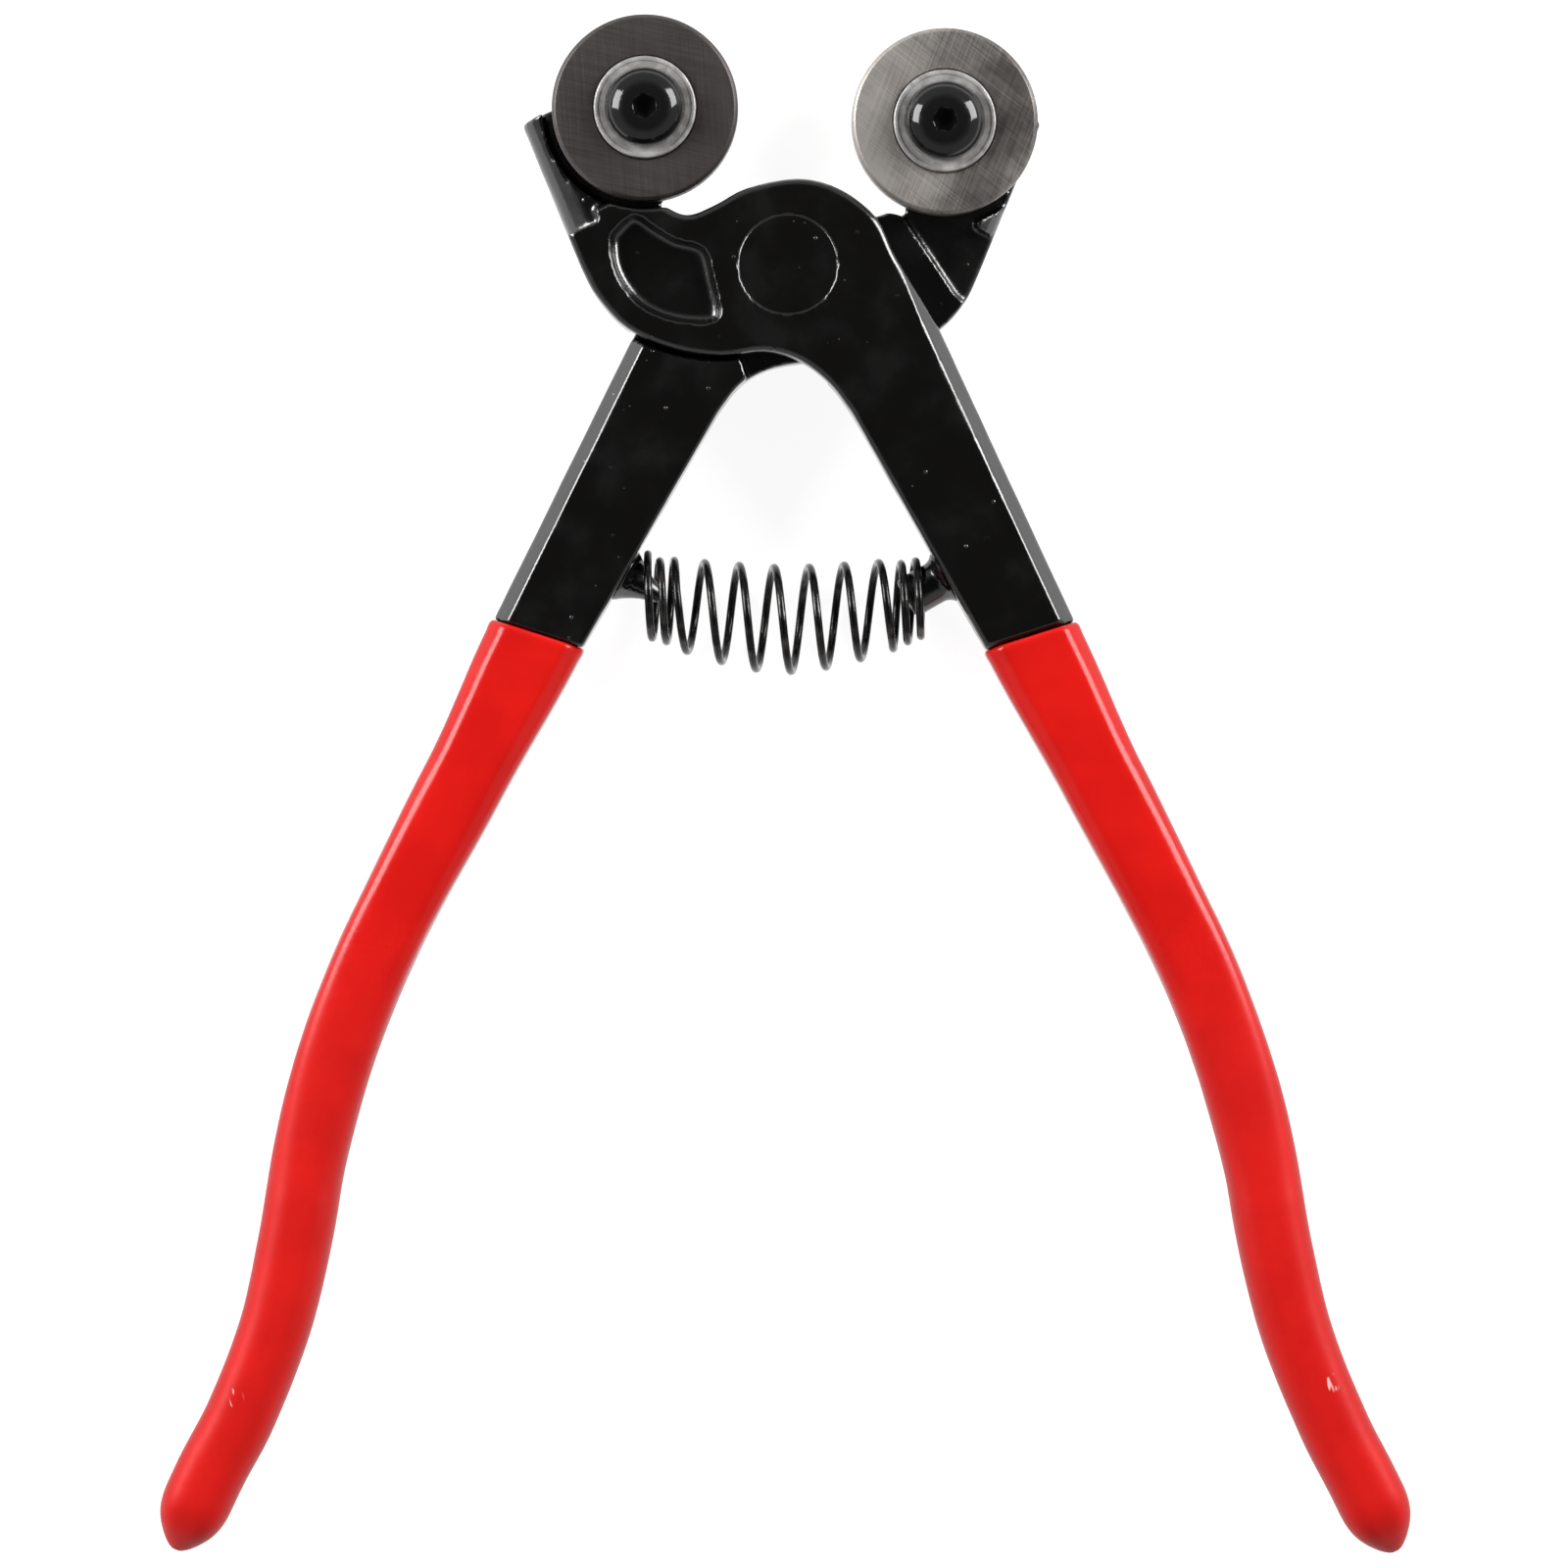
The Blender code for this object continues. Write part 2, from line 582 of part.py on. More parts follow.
def make_front_lever(handle, rear, material):
    """The lever with the left wheel and the right grip. Its head laps over the front."""
    outline = front_outline(handle)
    lever = lever_blank("front_lever", outline, handle, at(6.0, -6.0), 1, material)
    relief = swept_outline(rear, (-OPEN_STOP, CLOSING + OPEN_STOP))
    combine(lever, "DIFFERENCE", cutter(prism(relief, -FAR, MIDDLE + LAP_GAP / 2), "front_lap"))
    centre = centre_of(LEFT_WHEEL_ANGLE)
    step = Vector((5.8, 3.2)).normalized()
    rise = Vector((-step.y, step.x))
    foot = at(-22.1, 5.5)
    far_side = [foot + step * 6 * MM + rise * FAR, foot - step * FAR + rise * FAR]
    lower = [foot - step * FAR + rise * SEAT_SLOPE, foot + step * 6 * MM + rise * SEAT_SLOPE] + far_side
    lean = rise * -SEAT_SLOPE * 0.5
    upper = [lower[0] + lean, lower[1] + lean, far_side[0], far_side[1]]
    shelf = MIDDLE + LAP_GAP / 2
    combine(lever, "DIFFERENCE", cutter(prism(lower, shelf, TOTAL + MM, upper), "front_shelf"))
    combine(lever, "DIFFERENCE", spot_face(centre, "left_seat"))
    edge = (centre + Vector(LEFT_JAW_CORNER), at(-25.9, 3.6))
    combine(lever, "DIFFERENCE", round_over(*edge, shelf, "left_lip_round"))
    combine(lever, "DIFFERENCE", kidney_recess())
    hole = SCREW_DIAMETER + 2 * GAP
    combine(lever, "DIFFERENCE", drill(centre, hole, -FAR, FAR, "left_screw_hole"))
    draft_shank(lever, "front", handle, [at(12.9, 0.6), at(17.9, -7.6)], at(6.0, -6.0), (LAP_RAMP, FAR_RAMP))
    cut_pivot(lever, "front", TOTAL, -1)
    cut_stud_hole(lever, "front", handle)
    return lever


def make_rear_lever(handle, front, material):
    """The lever with the right wheel and the left grip. Its head lies behind."""
    outline = rear_outline(handle)
    lever = lever_blank("rear_lever", outline, handle, at(-6.0, -6.0), -1, material)
    lap_face = MIDDLE - LAP_GAP / 2
    relief = swept_outline(front, (-CLOSING - OPEN_STOP, OPEN_STOP))
    combine(lever, "DIFFERENCE", cutter(prism(relief, lap_face, FAR), "rear_lap"))
    jaw_side = [at(1.0, -16.0), Vector((FAR, -16.0 * MM)), Vector((FAR, FAR)), Vector((1.0 * MM, FAR))]
    combine(lever, "DIFFERENCE", cutter(prism(jaw_side, lap_face, FAR), "rear_jaw_face"))
    centre = centre_of(RIGHT_WHEEL_ANGLE)
    ridge_top, ridge_foot = at(13.9, 5.7), at(19.7, -3.1)
    ridge = (ridge_foot - ridge_top).normalized()
    floor = [ridge_top - ridge * 6 * MM, ridge_foot, at(20.3, -3.8), at(21.2, -4.1), at(28.0, -4.1),
             at(28.0, 1.6), at(22.3, 4.7), at(22.3, 10.0), at(16.0, 14.0)]
    combine(lever, "DIFFERENCE", cutter(prism(floor, SEAT_FLOOR, FAR), "right_shelf"))
    combine(lever, "DIFFERENCE", spot_face(centre, "right_seat"))
    edge = (centre + Vector(RIGHT_JAW_CORNER), at(24.4, 3.5))
    combine(lever, "DIFFERENCE", round_over(*edge, lap_face, "right_lip_round"))
    hole = SCREW_DIAMETER + 2 * GAP
    combine(lever, "DIFFERENCE", drill(centre, hole, -FAR, FAR, "right_screw_hole"))
    draft_shank(lever, "rear", handle, [at(-12.9, 0.6), at(-17.9, -7.6)], at(-6.0, -6.0), (FAR_RAMP, LAP_RAMP))
    cut_pivot(lever, "rear", 0.0, 1)
    cut_stud_hole(lever, "rear", handle)
    return lever


# ---------------------------------------------------------------- pivot and wheels
def make_rivet(material):
    """The pivot: a plain shank with a head sunk into each lever, flat behind and slightly domed in front."""
    neck = RIVET_DIAMETER / 2
    head = RIVET_HEAD_DIAMETER / 2
    deep = RIVET_HEAD_THICKNESS
    profile = [
        (0, 0), (head - 0.4 * MM, 0), (head, 0.4 * MM), (head, deep), (neck, deep),
        (neck, TOTAL - deep), (head, TOTAL - deep), (head, TOTAL - 0.5 * MM),
        (head - 0.4 * MM, TOTAL - 2 * RIVET_DOME), (0, TOTAL - RIVET_DOME),
    ]
    bm = turned(profile, ROUND_SIDES)
    hub = [vert for vert in bm.verts if vert.co.length < 0.01 * MM]
    bmesh.ops.dissolve_verts(bm, verts=hub)
    return add_object("pivot_rivet", finish_mesh(bm, "pivot_rivet"), material)


def stand(mesh, centre):
    """Moves a turned mesh onto a wheel's axis and says where its origin belongs."""
    place = Vector((centre.x, centre.y, MIDDLE))
    mesh.transform(Matrix.Translation(Vector((centre.x, centre.y, 0.0))))
    return place


def make_wheel(name, centre, material):
    """A carbide cutting wheel with broken edges and a recess for the bush's flange."""
    back = WHEEL_FRONT - WHEEL_THICKNESS
    rim, bore = WHEEL_RADIUS, WHEEL_BORE / 2
    recess = BUSH_FLANGE_DIAMETER / 2 + GAP
    profile = [
        (bore, back), (rim - WHEEL_CHAMFER, back), (rim, back + WHEEL_CHAMFER),
        (rim, WHEEL_FRONT - WHEEL_CHAMFER), (rim - WHEEL_CHAMFER, WHEEL_FRONT), (recess, WHEEL_FRONT),
        (recess, WHEEL_FRONT - BUSH_RECESS), (bore, WHEEL_FRONT - BUSH_RECESS),
    ]
    mesh = finish_mesh(turned(profile, ROUND_SIDES), name)
    return add_object(name, mesh, material, stand(mesh, centre))


def make_bush(name, centre, material):
    """The flanged bush that centres a wheel on its screw."""
    barrel = WHEEL_BORE / 2 - GAP
    bore = SCREW_DIAMETER / 2 + GAP
    flange = BUSH_FLANGE_DIAMETER / 2
    low = WHEEL_FRONT - BUSH_RECESS + GAP
    high = low + BUSH_FLANGE_THICKNESS
    profile = [
        (bore, SEAT_FLOOR + GAP), (barrel, SEAT_FLOOR + GAP), (barrel, low), (flange, low),
        (flange, high - BUSH_RIM), (flange - BUSH_RIM, high), (bore, high),
    ]
    mesh = finish_mesh(turned(profile, BUSH_SIDES), name)
    return add_object(name, mesh, material, stand(mesh, centre))


def make_screw(name, centre, material):
    """A button-head screw with a hexagon socket, through the bush into the jaw."""
    seat = WHEEL_FRONT - BUSH_RECESS + BUSH_FLANGE_THICKNESS + 2 * GAP
    shank, head = SCREW_DIAMETER / 2, SCREW_HEAD_DIAMETER / 2
    crown = SCREW_HEAD_HEIGHT - 0.3 * MM
    flat = 0.45 * head
    dome = []
    for i in range(6):
        angle = math.radians(90) * i / 5
        dome.append((flat + (head - flat) * math.cos(angle), seat + 0.3 * MM + crown * math.sin(angle)))
    profile = [(0, GAP), (shank - 0.4 * MM, GAP), (shank, GAP + 0.4 * MM), (shank, seat), (head, seat)]
    profile += dome + [(0, seat + SCREW_HEAD_HEIGHT)]
    mesh = finish_mesh(turned(profile, SMALL_SIDES), name)
    screw = add_object(name, mesh, material, stand(mesh, centre))
    corner = SCREW_SOCKET / math.sqrt(3)
    top = seat + SCREW_HEAD_HEIGHT
    hexagon = prism(arc(centre, corner, 0, 300, 5), top - SCREW_SOCKET_DEPTH, top + MM)
    combine(screw, "DIFFERENCE", cutter(hexagon, name + "_socket"))
    return screw


# ---------------------------------------------------------------- grips, studs and spring
def make_grip(name, handle, material):
    """A dipped vinyl grip: a sleeve closed at the tip, open where the shank goes in."""
    bm = bmesh.new()
    sides = 20
    outside = loft(bm, handle.rings(0.0, 0.0, sides, 5.6 * MM), cap_start=False)
    inside = loft(bm, handle.rings(0.0, GRIP_WALL, sides, 11.0 * MM), cap_start=False)
    for i in range(sides):
        j = (i + 1) % sides
        bm.faces.new((outside[0][i], inside[0][i], inside[0][j], outside[0][j]))
    return add_object(name, finish_mesh(bm, name), material)


def make_stud(name, handle, tapered, material):
    """A turned stud pressed into the inner side of a shank."""
    foot, outward = stud_frame(handle)
    tenon, barrel = STUD_TENON_DIAMETER / 2, STUD_DIAMETER / 2
    tip = STUD_TIP_DIAMETER / 2 if tapered else barrel
    profile = [
        (0, -STUD_TENON_LENGTH), (tenon, -STUD_TENON_LENGTH), (tenon, GAP), (barrel + STUD_FOOT, GAP),
        (barrel + 0.3 * MM, GAP + STUD_FOOT * 0.5), (barrel, GAP + STUD_FOOT),
        (blend(barrel, tip, 0.62), STUD_LENGTH * 0.55), (tip, STUD_LENGTH - 0.3 * MM),
        (tip - 0.3 * MM, STUD_LENGTH), (0, STUD_LENGTH),
    ]
    bm = turned(profile, 24)
    bmesh.ops.transform(bm, matrix=along_axis(foot, outward), verts=bm.verts)
    return add_object(name, finish_mesh(bm, name), material)


def spring_heading(left, right):
    """The direction from one stud to the other, which every turn of the spring stands square to."""
    return (stud_frame(right)[0] - stud_frame(left)[0]).normalized()


def spring_course(left, right):
    """The middle line of the spring, from one shank to the other, with a little sag."""
    (left_foot, left_out), (right_foot, right_out) = stud_frame(left), stud_frame(right)
    heading = spring_heading(left, right)
    lean = abs(left_out.dot(Vector((-heading.y, heading.x))))
    start = GAP + SPRING_WIRE / 2 + lean * (SPRING_END_RADIUS - SPRING_HANG)
    left_end = left_foot + left_out * STUD_LENGTH
    right_end = right_foot + right_out * STUD_LENGTH
    middle = (left_end + right_end) / 2 - Vector((0.0, SPRING_SAG))
    points = [left_foot + left_out * start, left_end, middle, right_end, right_foot + right_out * start]
    hang = Vector((0.0, SPRING_HANG))
    return curve([point - hang for point in points], 24)


def spring_wire(left, right):
    """Points along the wire: close turns on the studs, open turns of a barrel shape between them."""
    course = spring_course(left, right)
    heading = spring_heading(left, right)
    along = [0.0]
    for a, b in zip(course, course[1:]):
        along.append(along[-1] + (b - a).length)
    length = along[-1]
    close = SPRING_CLOSE_TURNS * SPRING_CLOSE_PITCH
    turns = 2 * SPRING_CLOSE_TURNS + SPRING_FREE_TURNS
    steps = 14
    points = []
    for i in range(round(turns * steps) + 1):
        turn = i / steps
        if turn < SPRING_CLOSE_TURNS:
            distance = turn * SPRING_CLOSE_PITCH
        elif turn > turns - SPRING_CLOSE_TURNS:
            distance = length - (turns - turn) * SPRING_CLOSE_PITCH
        else:
            share = (turn - SPRING_CLOSE_TURNS) / SPRING_FREE_TURNS
            distance = close + (length - 2 * close) * share
        inward = min(turn, turns - turn) - SPRING_CLOSE_TURNS
        share = min(max(1.0 + inward / SPRING_OPENING_TURNS, 0.0), 1.0)
        radius = blend(SPRING_END_RADIUS, SPRING_SHOULDER_RADIUS, share * share * (3 - 2 * share))
        if inward > 0:
            bulge = math.sin(math.pi / 2 * min(inward / (SPRING_FREE_TURNS / 2), 1.0))
            radius = blend(SPRING_SHOULDER_RADIUS, SPRING_MIDDLE_RADIUS, bulge)
        index = 0
        while index < len(along) - 2 and along[index + 1] < distance:
            index += 1
        a, b = course[index], course[index + 1]
        spot = blend(a, b, (distance - along[index]) / (along[index + 1] - along[index]))
        angle = math.tau * (turn - SPRING_CLOSE_TURNS + SPRING_TURN_START)
        rise, lift = radius * math.cos(angle), radius * math.sin(angle)
        points.append(Vector((spot.x - heading.y * rise, spot.y + heading.x * rise, MIDDLE + lift)))
    return points


def make_spring(left, right, material):
    """The return spring, held between the studs."""
    wire = spring_wire(left, right)
    sides = 6
    rings = []
    tangent = (wire[1] - wire[0]).normalized()
    normal = tangent.orthogonal().normalized()
    for i, place in enumerate(wire):
        ahead = wire[min(i + 1, len(wire) - 1)] - wire[max(i - 1, 0)]
        turn = tangent.rotation_difference(ahead.normalized())
        tangent = ahead.normalized()
        normal = (turn @ normal).normalized()
        binormal = tangent.cross(normal)
        ring = []
        for j in range(sides):
            angle = math.tau * j / sides
            ring.append(place + (normal * math.cos(angle) + binormal * math.sin(angle)) * SPRING_WIRE / 2)
        rings.append(ring)
    bm = bmesh.new()
    loft(bm, rings)
    return add_object("return_spring", finish_mesh(bm, "return_spring"), material, smooth_below=80.0)


# ---------------------------------------------------------------- assembly
def clear_scene():
    """Starts from an empty scene."""
    for obj in list(bpy.data.objects):
        bpy.data.objects.remove(obj)


def build():
    """Makes every piece of the nippers."""
    black = paint("black_paint", (0.012, 0.012, 0.013), 0.22, 0.0)
    carbide = paint("ground_carbide", (0.10, 0.09, 0.085), 0.35, 1.0)
    steel = paint("turned_steel", (0.42, 0.42, 0.41), 0.35, 1.0)
    oxide = paint("black_oxide", (0.02, 0.02, 0.021), 0.18, 0.6)
    wire = paint("spring_steel", (0.03, 0.03, 0.03), 0.25, 0.8)
    vinyl = paint("red_vinyl", (0.62, 0.018, 0.014), 0.32, 0.0)
    left, right = left_handle(), right_handle()
    front_lever = make_front_lever(right, rear_outline(left), black)
    make_rear_lever(left, front_outline(right), black)
    make_rivet(black)
    swing = bpy.data.objects.new("lever_pivot_axis", None)
    bpy.context.scene.collection.objects.link(swing)
    moving = [front_lever]
    for side, angle in (("left", LEFT_WHEEL_ANGLE), ("right", RIGHT_WHEEL_ANGLE)):
        centre = centre_of(angle)
        pieces = [
            make_wheel(side + "_cutting_wheel", centre, carbide),
            make_bush(side + "_wheel_bush", centre, steel),
            make_screw(side + "_wheel_screw", centre, oxide),
        ]
        if side == "left":
            moving += pieces
    make_grip("left_grip", left, vinyl)
    moving.append(make_grip("right_grip", right, vinyl))
    make_stud("left_spring_stud", left, True, black)
    moving.append(make_stud("right_spring_stud", right, False, black))
    make_spring(left, right, wire)
    for piece in moving:
        piece.parent = swing


clear_scene()
build()
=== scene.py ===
"""Mosaic glass nippers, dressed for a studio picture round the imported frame.

The tool lies on its back. The levers lie in the XY plane with the wheels towards +Y, and +Z is the axis of
the pivot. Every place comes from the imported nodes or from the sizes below, in metres.
"""

import logging
import math
from dataclasses import dataclass
from enum import Enum

import bmesh
import bpy
import numpy as np
from mathutils import Matrix, Vector, noise

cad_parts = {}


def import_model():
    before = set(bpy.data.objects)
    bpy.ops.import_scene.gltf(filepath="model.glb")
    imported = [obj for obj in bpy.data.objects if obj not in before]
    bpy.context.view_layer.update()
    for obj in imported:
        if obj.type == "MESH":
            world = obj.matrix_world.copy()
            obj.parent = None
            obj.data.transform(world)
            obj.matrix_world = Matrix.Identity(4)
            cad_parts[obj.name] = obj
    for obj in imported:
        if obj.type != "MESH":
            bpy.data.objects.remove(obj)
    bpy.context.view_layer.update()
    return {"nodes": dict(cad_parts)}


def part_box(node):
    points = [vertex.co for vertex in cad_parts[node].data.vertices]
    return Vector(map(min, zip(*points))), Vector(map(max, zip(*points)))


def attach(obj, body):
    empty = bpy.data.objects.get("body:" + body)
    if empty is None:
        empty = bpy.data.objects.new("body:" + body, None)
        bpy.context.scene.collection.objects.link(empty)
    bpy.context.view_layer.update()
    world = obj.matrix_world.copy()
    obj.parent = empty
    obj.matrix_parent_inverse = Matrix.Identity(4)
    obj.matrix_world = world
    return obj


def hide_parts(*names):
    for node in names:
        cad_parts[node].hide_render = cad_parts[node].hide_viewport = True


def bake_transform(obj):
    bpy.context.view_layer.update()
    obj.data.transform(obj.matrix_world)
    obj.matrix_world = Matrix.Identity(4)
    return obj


MM = 0.001
MIDDLE = 6.75 * MM  # mid-plane of the tool above its back
FORGING_SWELL = 7.0 * MM  # length of the slow waves in a forging's faces
FORGING_RIPPLE = 2.2 * MM  # length of the short ones
RIPPLE_SHARE = 0.35  # height of the short waves beside the slow ones
GRIP_SWELL = 12.0 * MM  # length of the slow waves in the vinyl
GRIP_SWELL_DEPTH = 0.05 * MM
GRIP_RIPPLE = 3.0 * MM  # length of the short ones
GRIP_RIPPLE_DEPTH = 0.015 * MM
LOG = logging.getLogger("nippers")
Profile = list[tuple[float, float]]
Socket = bpy.types.NodeSocket


class Body(Enum):
    """The rigid bodies of the tool."""

    REAR = "rear_lever"
    FRONT = "front_lever"
    LEFT_WHEEL = "left_wheel"
    RIGHT_WHEEL = "right_wheel"


class Side(Enum):
    """Which half of the tool a piece is on, seen from the front."""

    LEFT = -1
    RIGHT = 1

    @property
    def word(self) -> str:
        """The side as it is written in the names of pieces."""
        return self.name.lower()


# ---------------------------------------------------------------- node graphs
class Graph:
    """A material's node tree, with short calls to add and join nodes."""

    def __init__(self, name: str) -> None:
        """Starts a material.

        Args:
            name: What the material is called.
        """
        self.material = bpy.data.materials.new(name)
        self.material.use_nodes = True
        self.tree = self.material.node_tree
        self.shader = self.tree.nodes["Principled BSDF"]
        coordinates = self.tree.nodes.new("ShaderNodeTexCoord")
        self.place = coordinates.outputs["Object"]
        self.facing = coordinates.outputs["Normal"]

    def join(self, value: object, socket: Socket) -> None:
        """Feeds a socket from another socket, or sets it to a plain value.

        Args:
            value: An output socket, a number or a tuple.
            socket: The input to feed.
        """
        if isinstance(value, bpy.types.NodeSocket):
            self.tree.links.new(value, socket)
        else:
            socket.default_value = value

    def node(self, kind: str, inputs: dict[object, object], **settings: object) -> bpy.types.Node:
        """Adds a node.

        Args:
            kind: The node's type, without its common prefix.
            inputs: What each input gets, by name or number.
            **settings: Properties of the node.

        Returns:
            The new node.
        """
        made = self.tree.nodes.new("ShaderNode" + kind)
        for name, value in settings.items():
            setattr(made, name, value)
        for key, value in inputs.items():
            self.join(value, made.inputs[key])
        return made

    def stretched(self, scale: tuple[float, float, float], turn: float = 0.0, shift: float = 0.0) -> Socket:
        """The place on the piece, scaled and turned about Z.

        Args:
            scale: Scale along each axis.
            turn: Turn about Z in degrees.
            shift: Offset along every axis, to draw another part of a pattern.

        Returns:
            The changed place.
        """
        turned = self.node("Mapping", {"Vector": self.place, "Rotation": (0.0, 0.0, math.radians(turn))})
        scaled = self.node("Mapping", {"Vector": turned.outputs[0], "Scale": scale,
                                       "Location": (shift, shift, shift)})
        return scaled.outputs[0]

    def noise(self, scale: float, detail: float = 2.0, place: Socket | None = None,
              roughness: float = 0.5) -> Socket:
        """Smooth noise from 0 to 1.

        Args:
            scale: Waves in a metre.
            detail: Octaves.
            place: Where it is read, if not on the piece itself.
            roughness: Weight of the fine octaves.

        Returns:
            The noise.
        """
        return self.node("TexNoise", {"Vector": place or self.place, "Scale": scale, "Detail": detail,
                                      "Roughness": roughness}).outputs[0]

    def ramp(self, value: Socket, low: float, high: float, to_low: float = 0.0,
             to_high: float = 1.0) -> Socket:
        """Maps one range smoothly onto another, held at its ends.

        Args:
            value: What is mapped.
            low: Where the first range starts.
            high: Where it ends.
            to_low: Value at the start.
            to_high: Value at the end.

        Returns:
            The mapped value.
        """
        return self.node("MapRange", {0: value, 1: low, 2: high, 3: to_low, 4: to_high},
                         interpolation_type="SMOOTHSTEP").outputs[0]

    def maths(self, operation: str, a: object, b: object) -> Socket:
        """One sum on two values.

        Args:
            operation: What to do.
            a: First value or socket.
            b: Second value or socket.

        Returns:
            The result.
        """
        return self.node("Math", {0: a, 1: b}, operation=operation).outputs[0]

    def mix(self, share: Socket, a: tuple[float, ...], b: tuple[float, ...]) -> Socket:
        """A colour between two.

        Args:
            share: How much of the second.
            a: First colour.
            b: Second colour.

        Returns:
            The colour.
        """
        return self.node("MixRGB", {0: share, 1: (*a, 1.0), 2: (*b, 1.0)}).outputs[0]

    def dots(self, scale: float, radius: float, kept: float, shift: float = 0.0) -> Socket:
        """Small round spots scattered over a piece.

        Args:
            scale: Cells in a metre, each with one spot or none.
            radius: Radius of a spot in cells.
            kept: Share of the cells that have a spot.
            shift: Offset, for another scatter.

        Returns:
            1 in the middle of a spot and 0 outside all of them.
        """
        cells = self.node("TexVoronoi",
                          {"Vector": self.stretched((1.0, 1.0, 1.0), shift=shift), "Scale": scale})
        round_spot = self.ramp(cells.outputs["Distance"], 0.0, radius, 1.0, 0.0)
        lot = self.node("SeparateColor", {0: cells.outputs["Color"]}).outputs[0]
        chosen = self.maths("LESS_THAN", lot, kept)
        return self.maths("MULTIPLY", round_spot, chosen)

    def bump(self, height: Socket, distance: float, strength: float = 1.0) -> None:
        """Gives the surface relief.

        Args:
            height: Height from 0 to 1.
            distance: Height of 1, in metres.
            strength: Share of the effect.
        """
        made = self.node("Bump", {"Height": height, "Distance": distance, "Strength": strength})
        self.tree.links.new(made.outputs[0], self.shader.inputs["Normal"])

    def set(self, **values: object) -> None:
        """Sets or feeds the shader's own sockets, named with underscores for spaces."""
        for name, value in values.items():
            self.join(value, self.shader.inputs[name.replace("_", " ")])


# ---------------------------------------------------------------- finishes
@dataclass(frozen=True)
class StovedPaint:
    """Gloss black stoving paint over a forging: orange peel, pimples, pale flecks partly dirt and partly
    painted glints.
    """

    name: str = "black_paint"
    colour: tuple[float, float, float] = (0.0026, 0.0023, 0.0021)
    # colour of the pale flecks: partly dirt under the paint, partly painted glints
    dust_and_glint: tuple[float, float, float] = (0.10, 0.095, 0.09)
    pimples: float = 0.10
    dust_glint_specks: float = 0.02
    peel: float = 1.0
    roughness: tuple[float, float] = (0.12, 0.28)

    def make(self) -> bpy.types.Material:
        """Builds the material."""
        graph = Graph(self.name)
        peel = graph.noise(520.0, 2.0)
        grain = graph.noise(2600.0, 3.0)
        patch = graph.ramp(graph.noise(95.0, 1.0), 0.42, 0.62)
        spots = graph.dots(620.0, 0.20, self.pimples)
        coarse = graph.dots(300.0, 0.16, self.pimples * 0.6, shift=3.0)
        height = graph.maths("MULTIPLY", peel, 0.30 * self.peel)
        height = graph.maths("ADD", height, spots)
        height = graph.maths("ADD", height, coarse)
        height = graph.maths("ADD", height,
                             graph.maths("MULTIPLY", graph.maths("MULTIPLY", grain, patch), 0.22))
        beads = graph.noise(1350.0, 1.0)
        height = graph.maths("ADD", height, graph.maths("MULTIPLY", beads, 0.16 * self.peel))
        graph.bump(height, 0.10 * MM)
        # pale flecks on the black: partly dirt under the paint, partly painted glints
        dust_glint_specks = graph.dots(1500.0, 0.20, self.dust_glint_specks, shift=7.0)
        graph.set(Base_Color=graph.mix(dust_glint_specks, self.colour, self.dust_and_glint),
                  Roughness=graph.ramp(graph.noise(150.0, 3.0), 0.35, 0.7, *self.roughness),
                  Specular_IOR_Level=0.9)
        return graph.material


@dataclass(frozen=True)
class GroundCarbide:
    """Dark sintered carbide with the crossing marks of face grinding, and a painted sheen lighter towards -X.
    """

    name: str
    colour: tuple[float, float, float]
    bright: tuple[float, float, float]
    scratches: float = 1.0
    turn: float = 0.0
    # X span, in metres, where the painted sheen fades out; by default it lies off the tool, so there is none
    sheen_fade: tuple[float, float] = (-1.0, -0.9)

    def make(self) -> bpy.types.Material:
        """Builds the material."""
        graph = Graph(self.name)
        first = graph.noise(1.0, 4.0, graph.stretched((90.0, 5200.0, 300.0), self.turn))
        second = graph.noise(1.0, 4.0, graph.stretched((70.0, 4300.0, 300.0), self.turn + 74.0, 5.0))
        marks = graph.maths("MULTIPLY", graph.maths("ADD", first, second), 0.5)
        blotch = graph.noise(210.0, 4.0)
        grain = graph.noise(6500.0, 2.0)
        small_marks = graph.ramp(graph.noise(1.0, 1.0,
                                       graph.stretched((260.0, 2400.0, 300.0), self.turn + 30.0, 9.0)),
                           0.70, 0.76)
        shade = graph.maths("ADD", graph.maths("MULTIPLY", marks, 0.55),
                            graph.maths("MULTIPLY", blotch, 0.45))
        # painted sheen: colour lifted on the -X side and fading along X, for light that the grinding marks
        # reflect
        across = graph.node("SeparateXYZ", {0: graph.place}).outputs[0]
        painted_sheen = graph.ramp(across, *self.sheen_fade, 0.34, 0.0)
        shade = graph.maths("ADD", shade, painted_sheen)
        graph.set(Base_Color=graph.mix(graph.ramp(shade, 0.36, 0.90), self.colour, self.bright),
                  Metallic=0.55,
                  Roughness=graph.ramp(marks, 0.3, 0.7, 0.34, 0.50),
                  Specular_IOR_Level=0.5)
        relief = graph.maths("ADD", graph.maths("MULTIPLY", marks, self.scratches),
                             graph.maths("MULTIPLY", grain, 0.35))
        relief = graph.maths("SUBTRACT", relief, graph.maths("MULTIPLY", small_marks, 0.7 * self.scratches))
        graph.bump(relief, 0.012 * MM)
        return graph.material


@dataclass(frozen=True)
class GrainedSteel:
    """Bare steel, turned and then tumbled to an even grain."""

    name: str = "turned_steel"
    colour: tuple[float, float, float] = (0.34, 0.33, 0.32)
    bright: tuple[float, float, float] = (0.50, 0.49, 0.475)

    def make(self) -> bpy.types.Material:
        """Builds the material."""
        graph = Graph(self.name)
        grain = graph.noise(3800.0, 3.0)
        blotch = graph.noise(700.0, 2.0)
        graph.set(Base_Color=graph.mix(graph.ramp(blotch, 0.35, 0.65), self.colour, self.bright),
                  Metallic=0.5,
                  Roughness=graph.ramp(grain, 0.3, 0.7, 0.36, 0.52))
        graph.bump(grain, 0.02 * MM)
        return graph.material


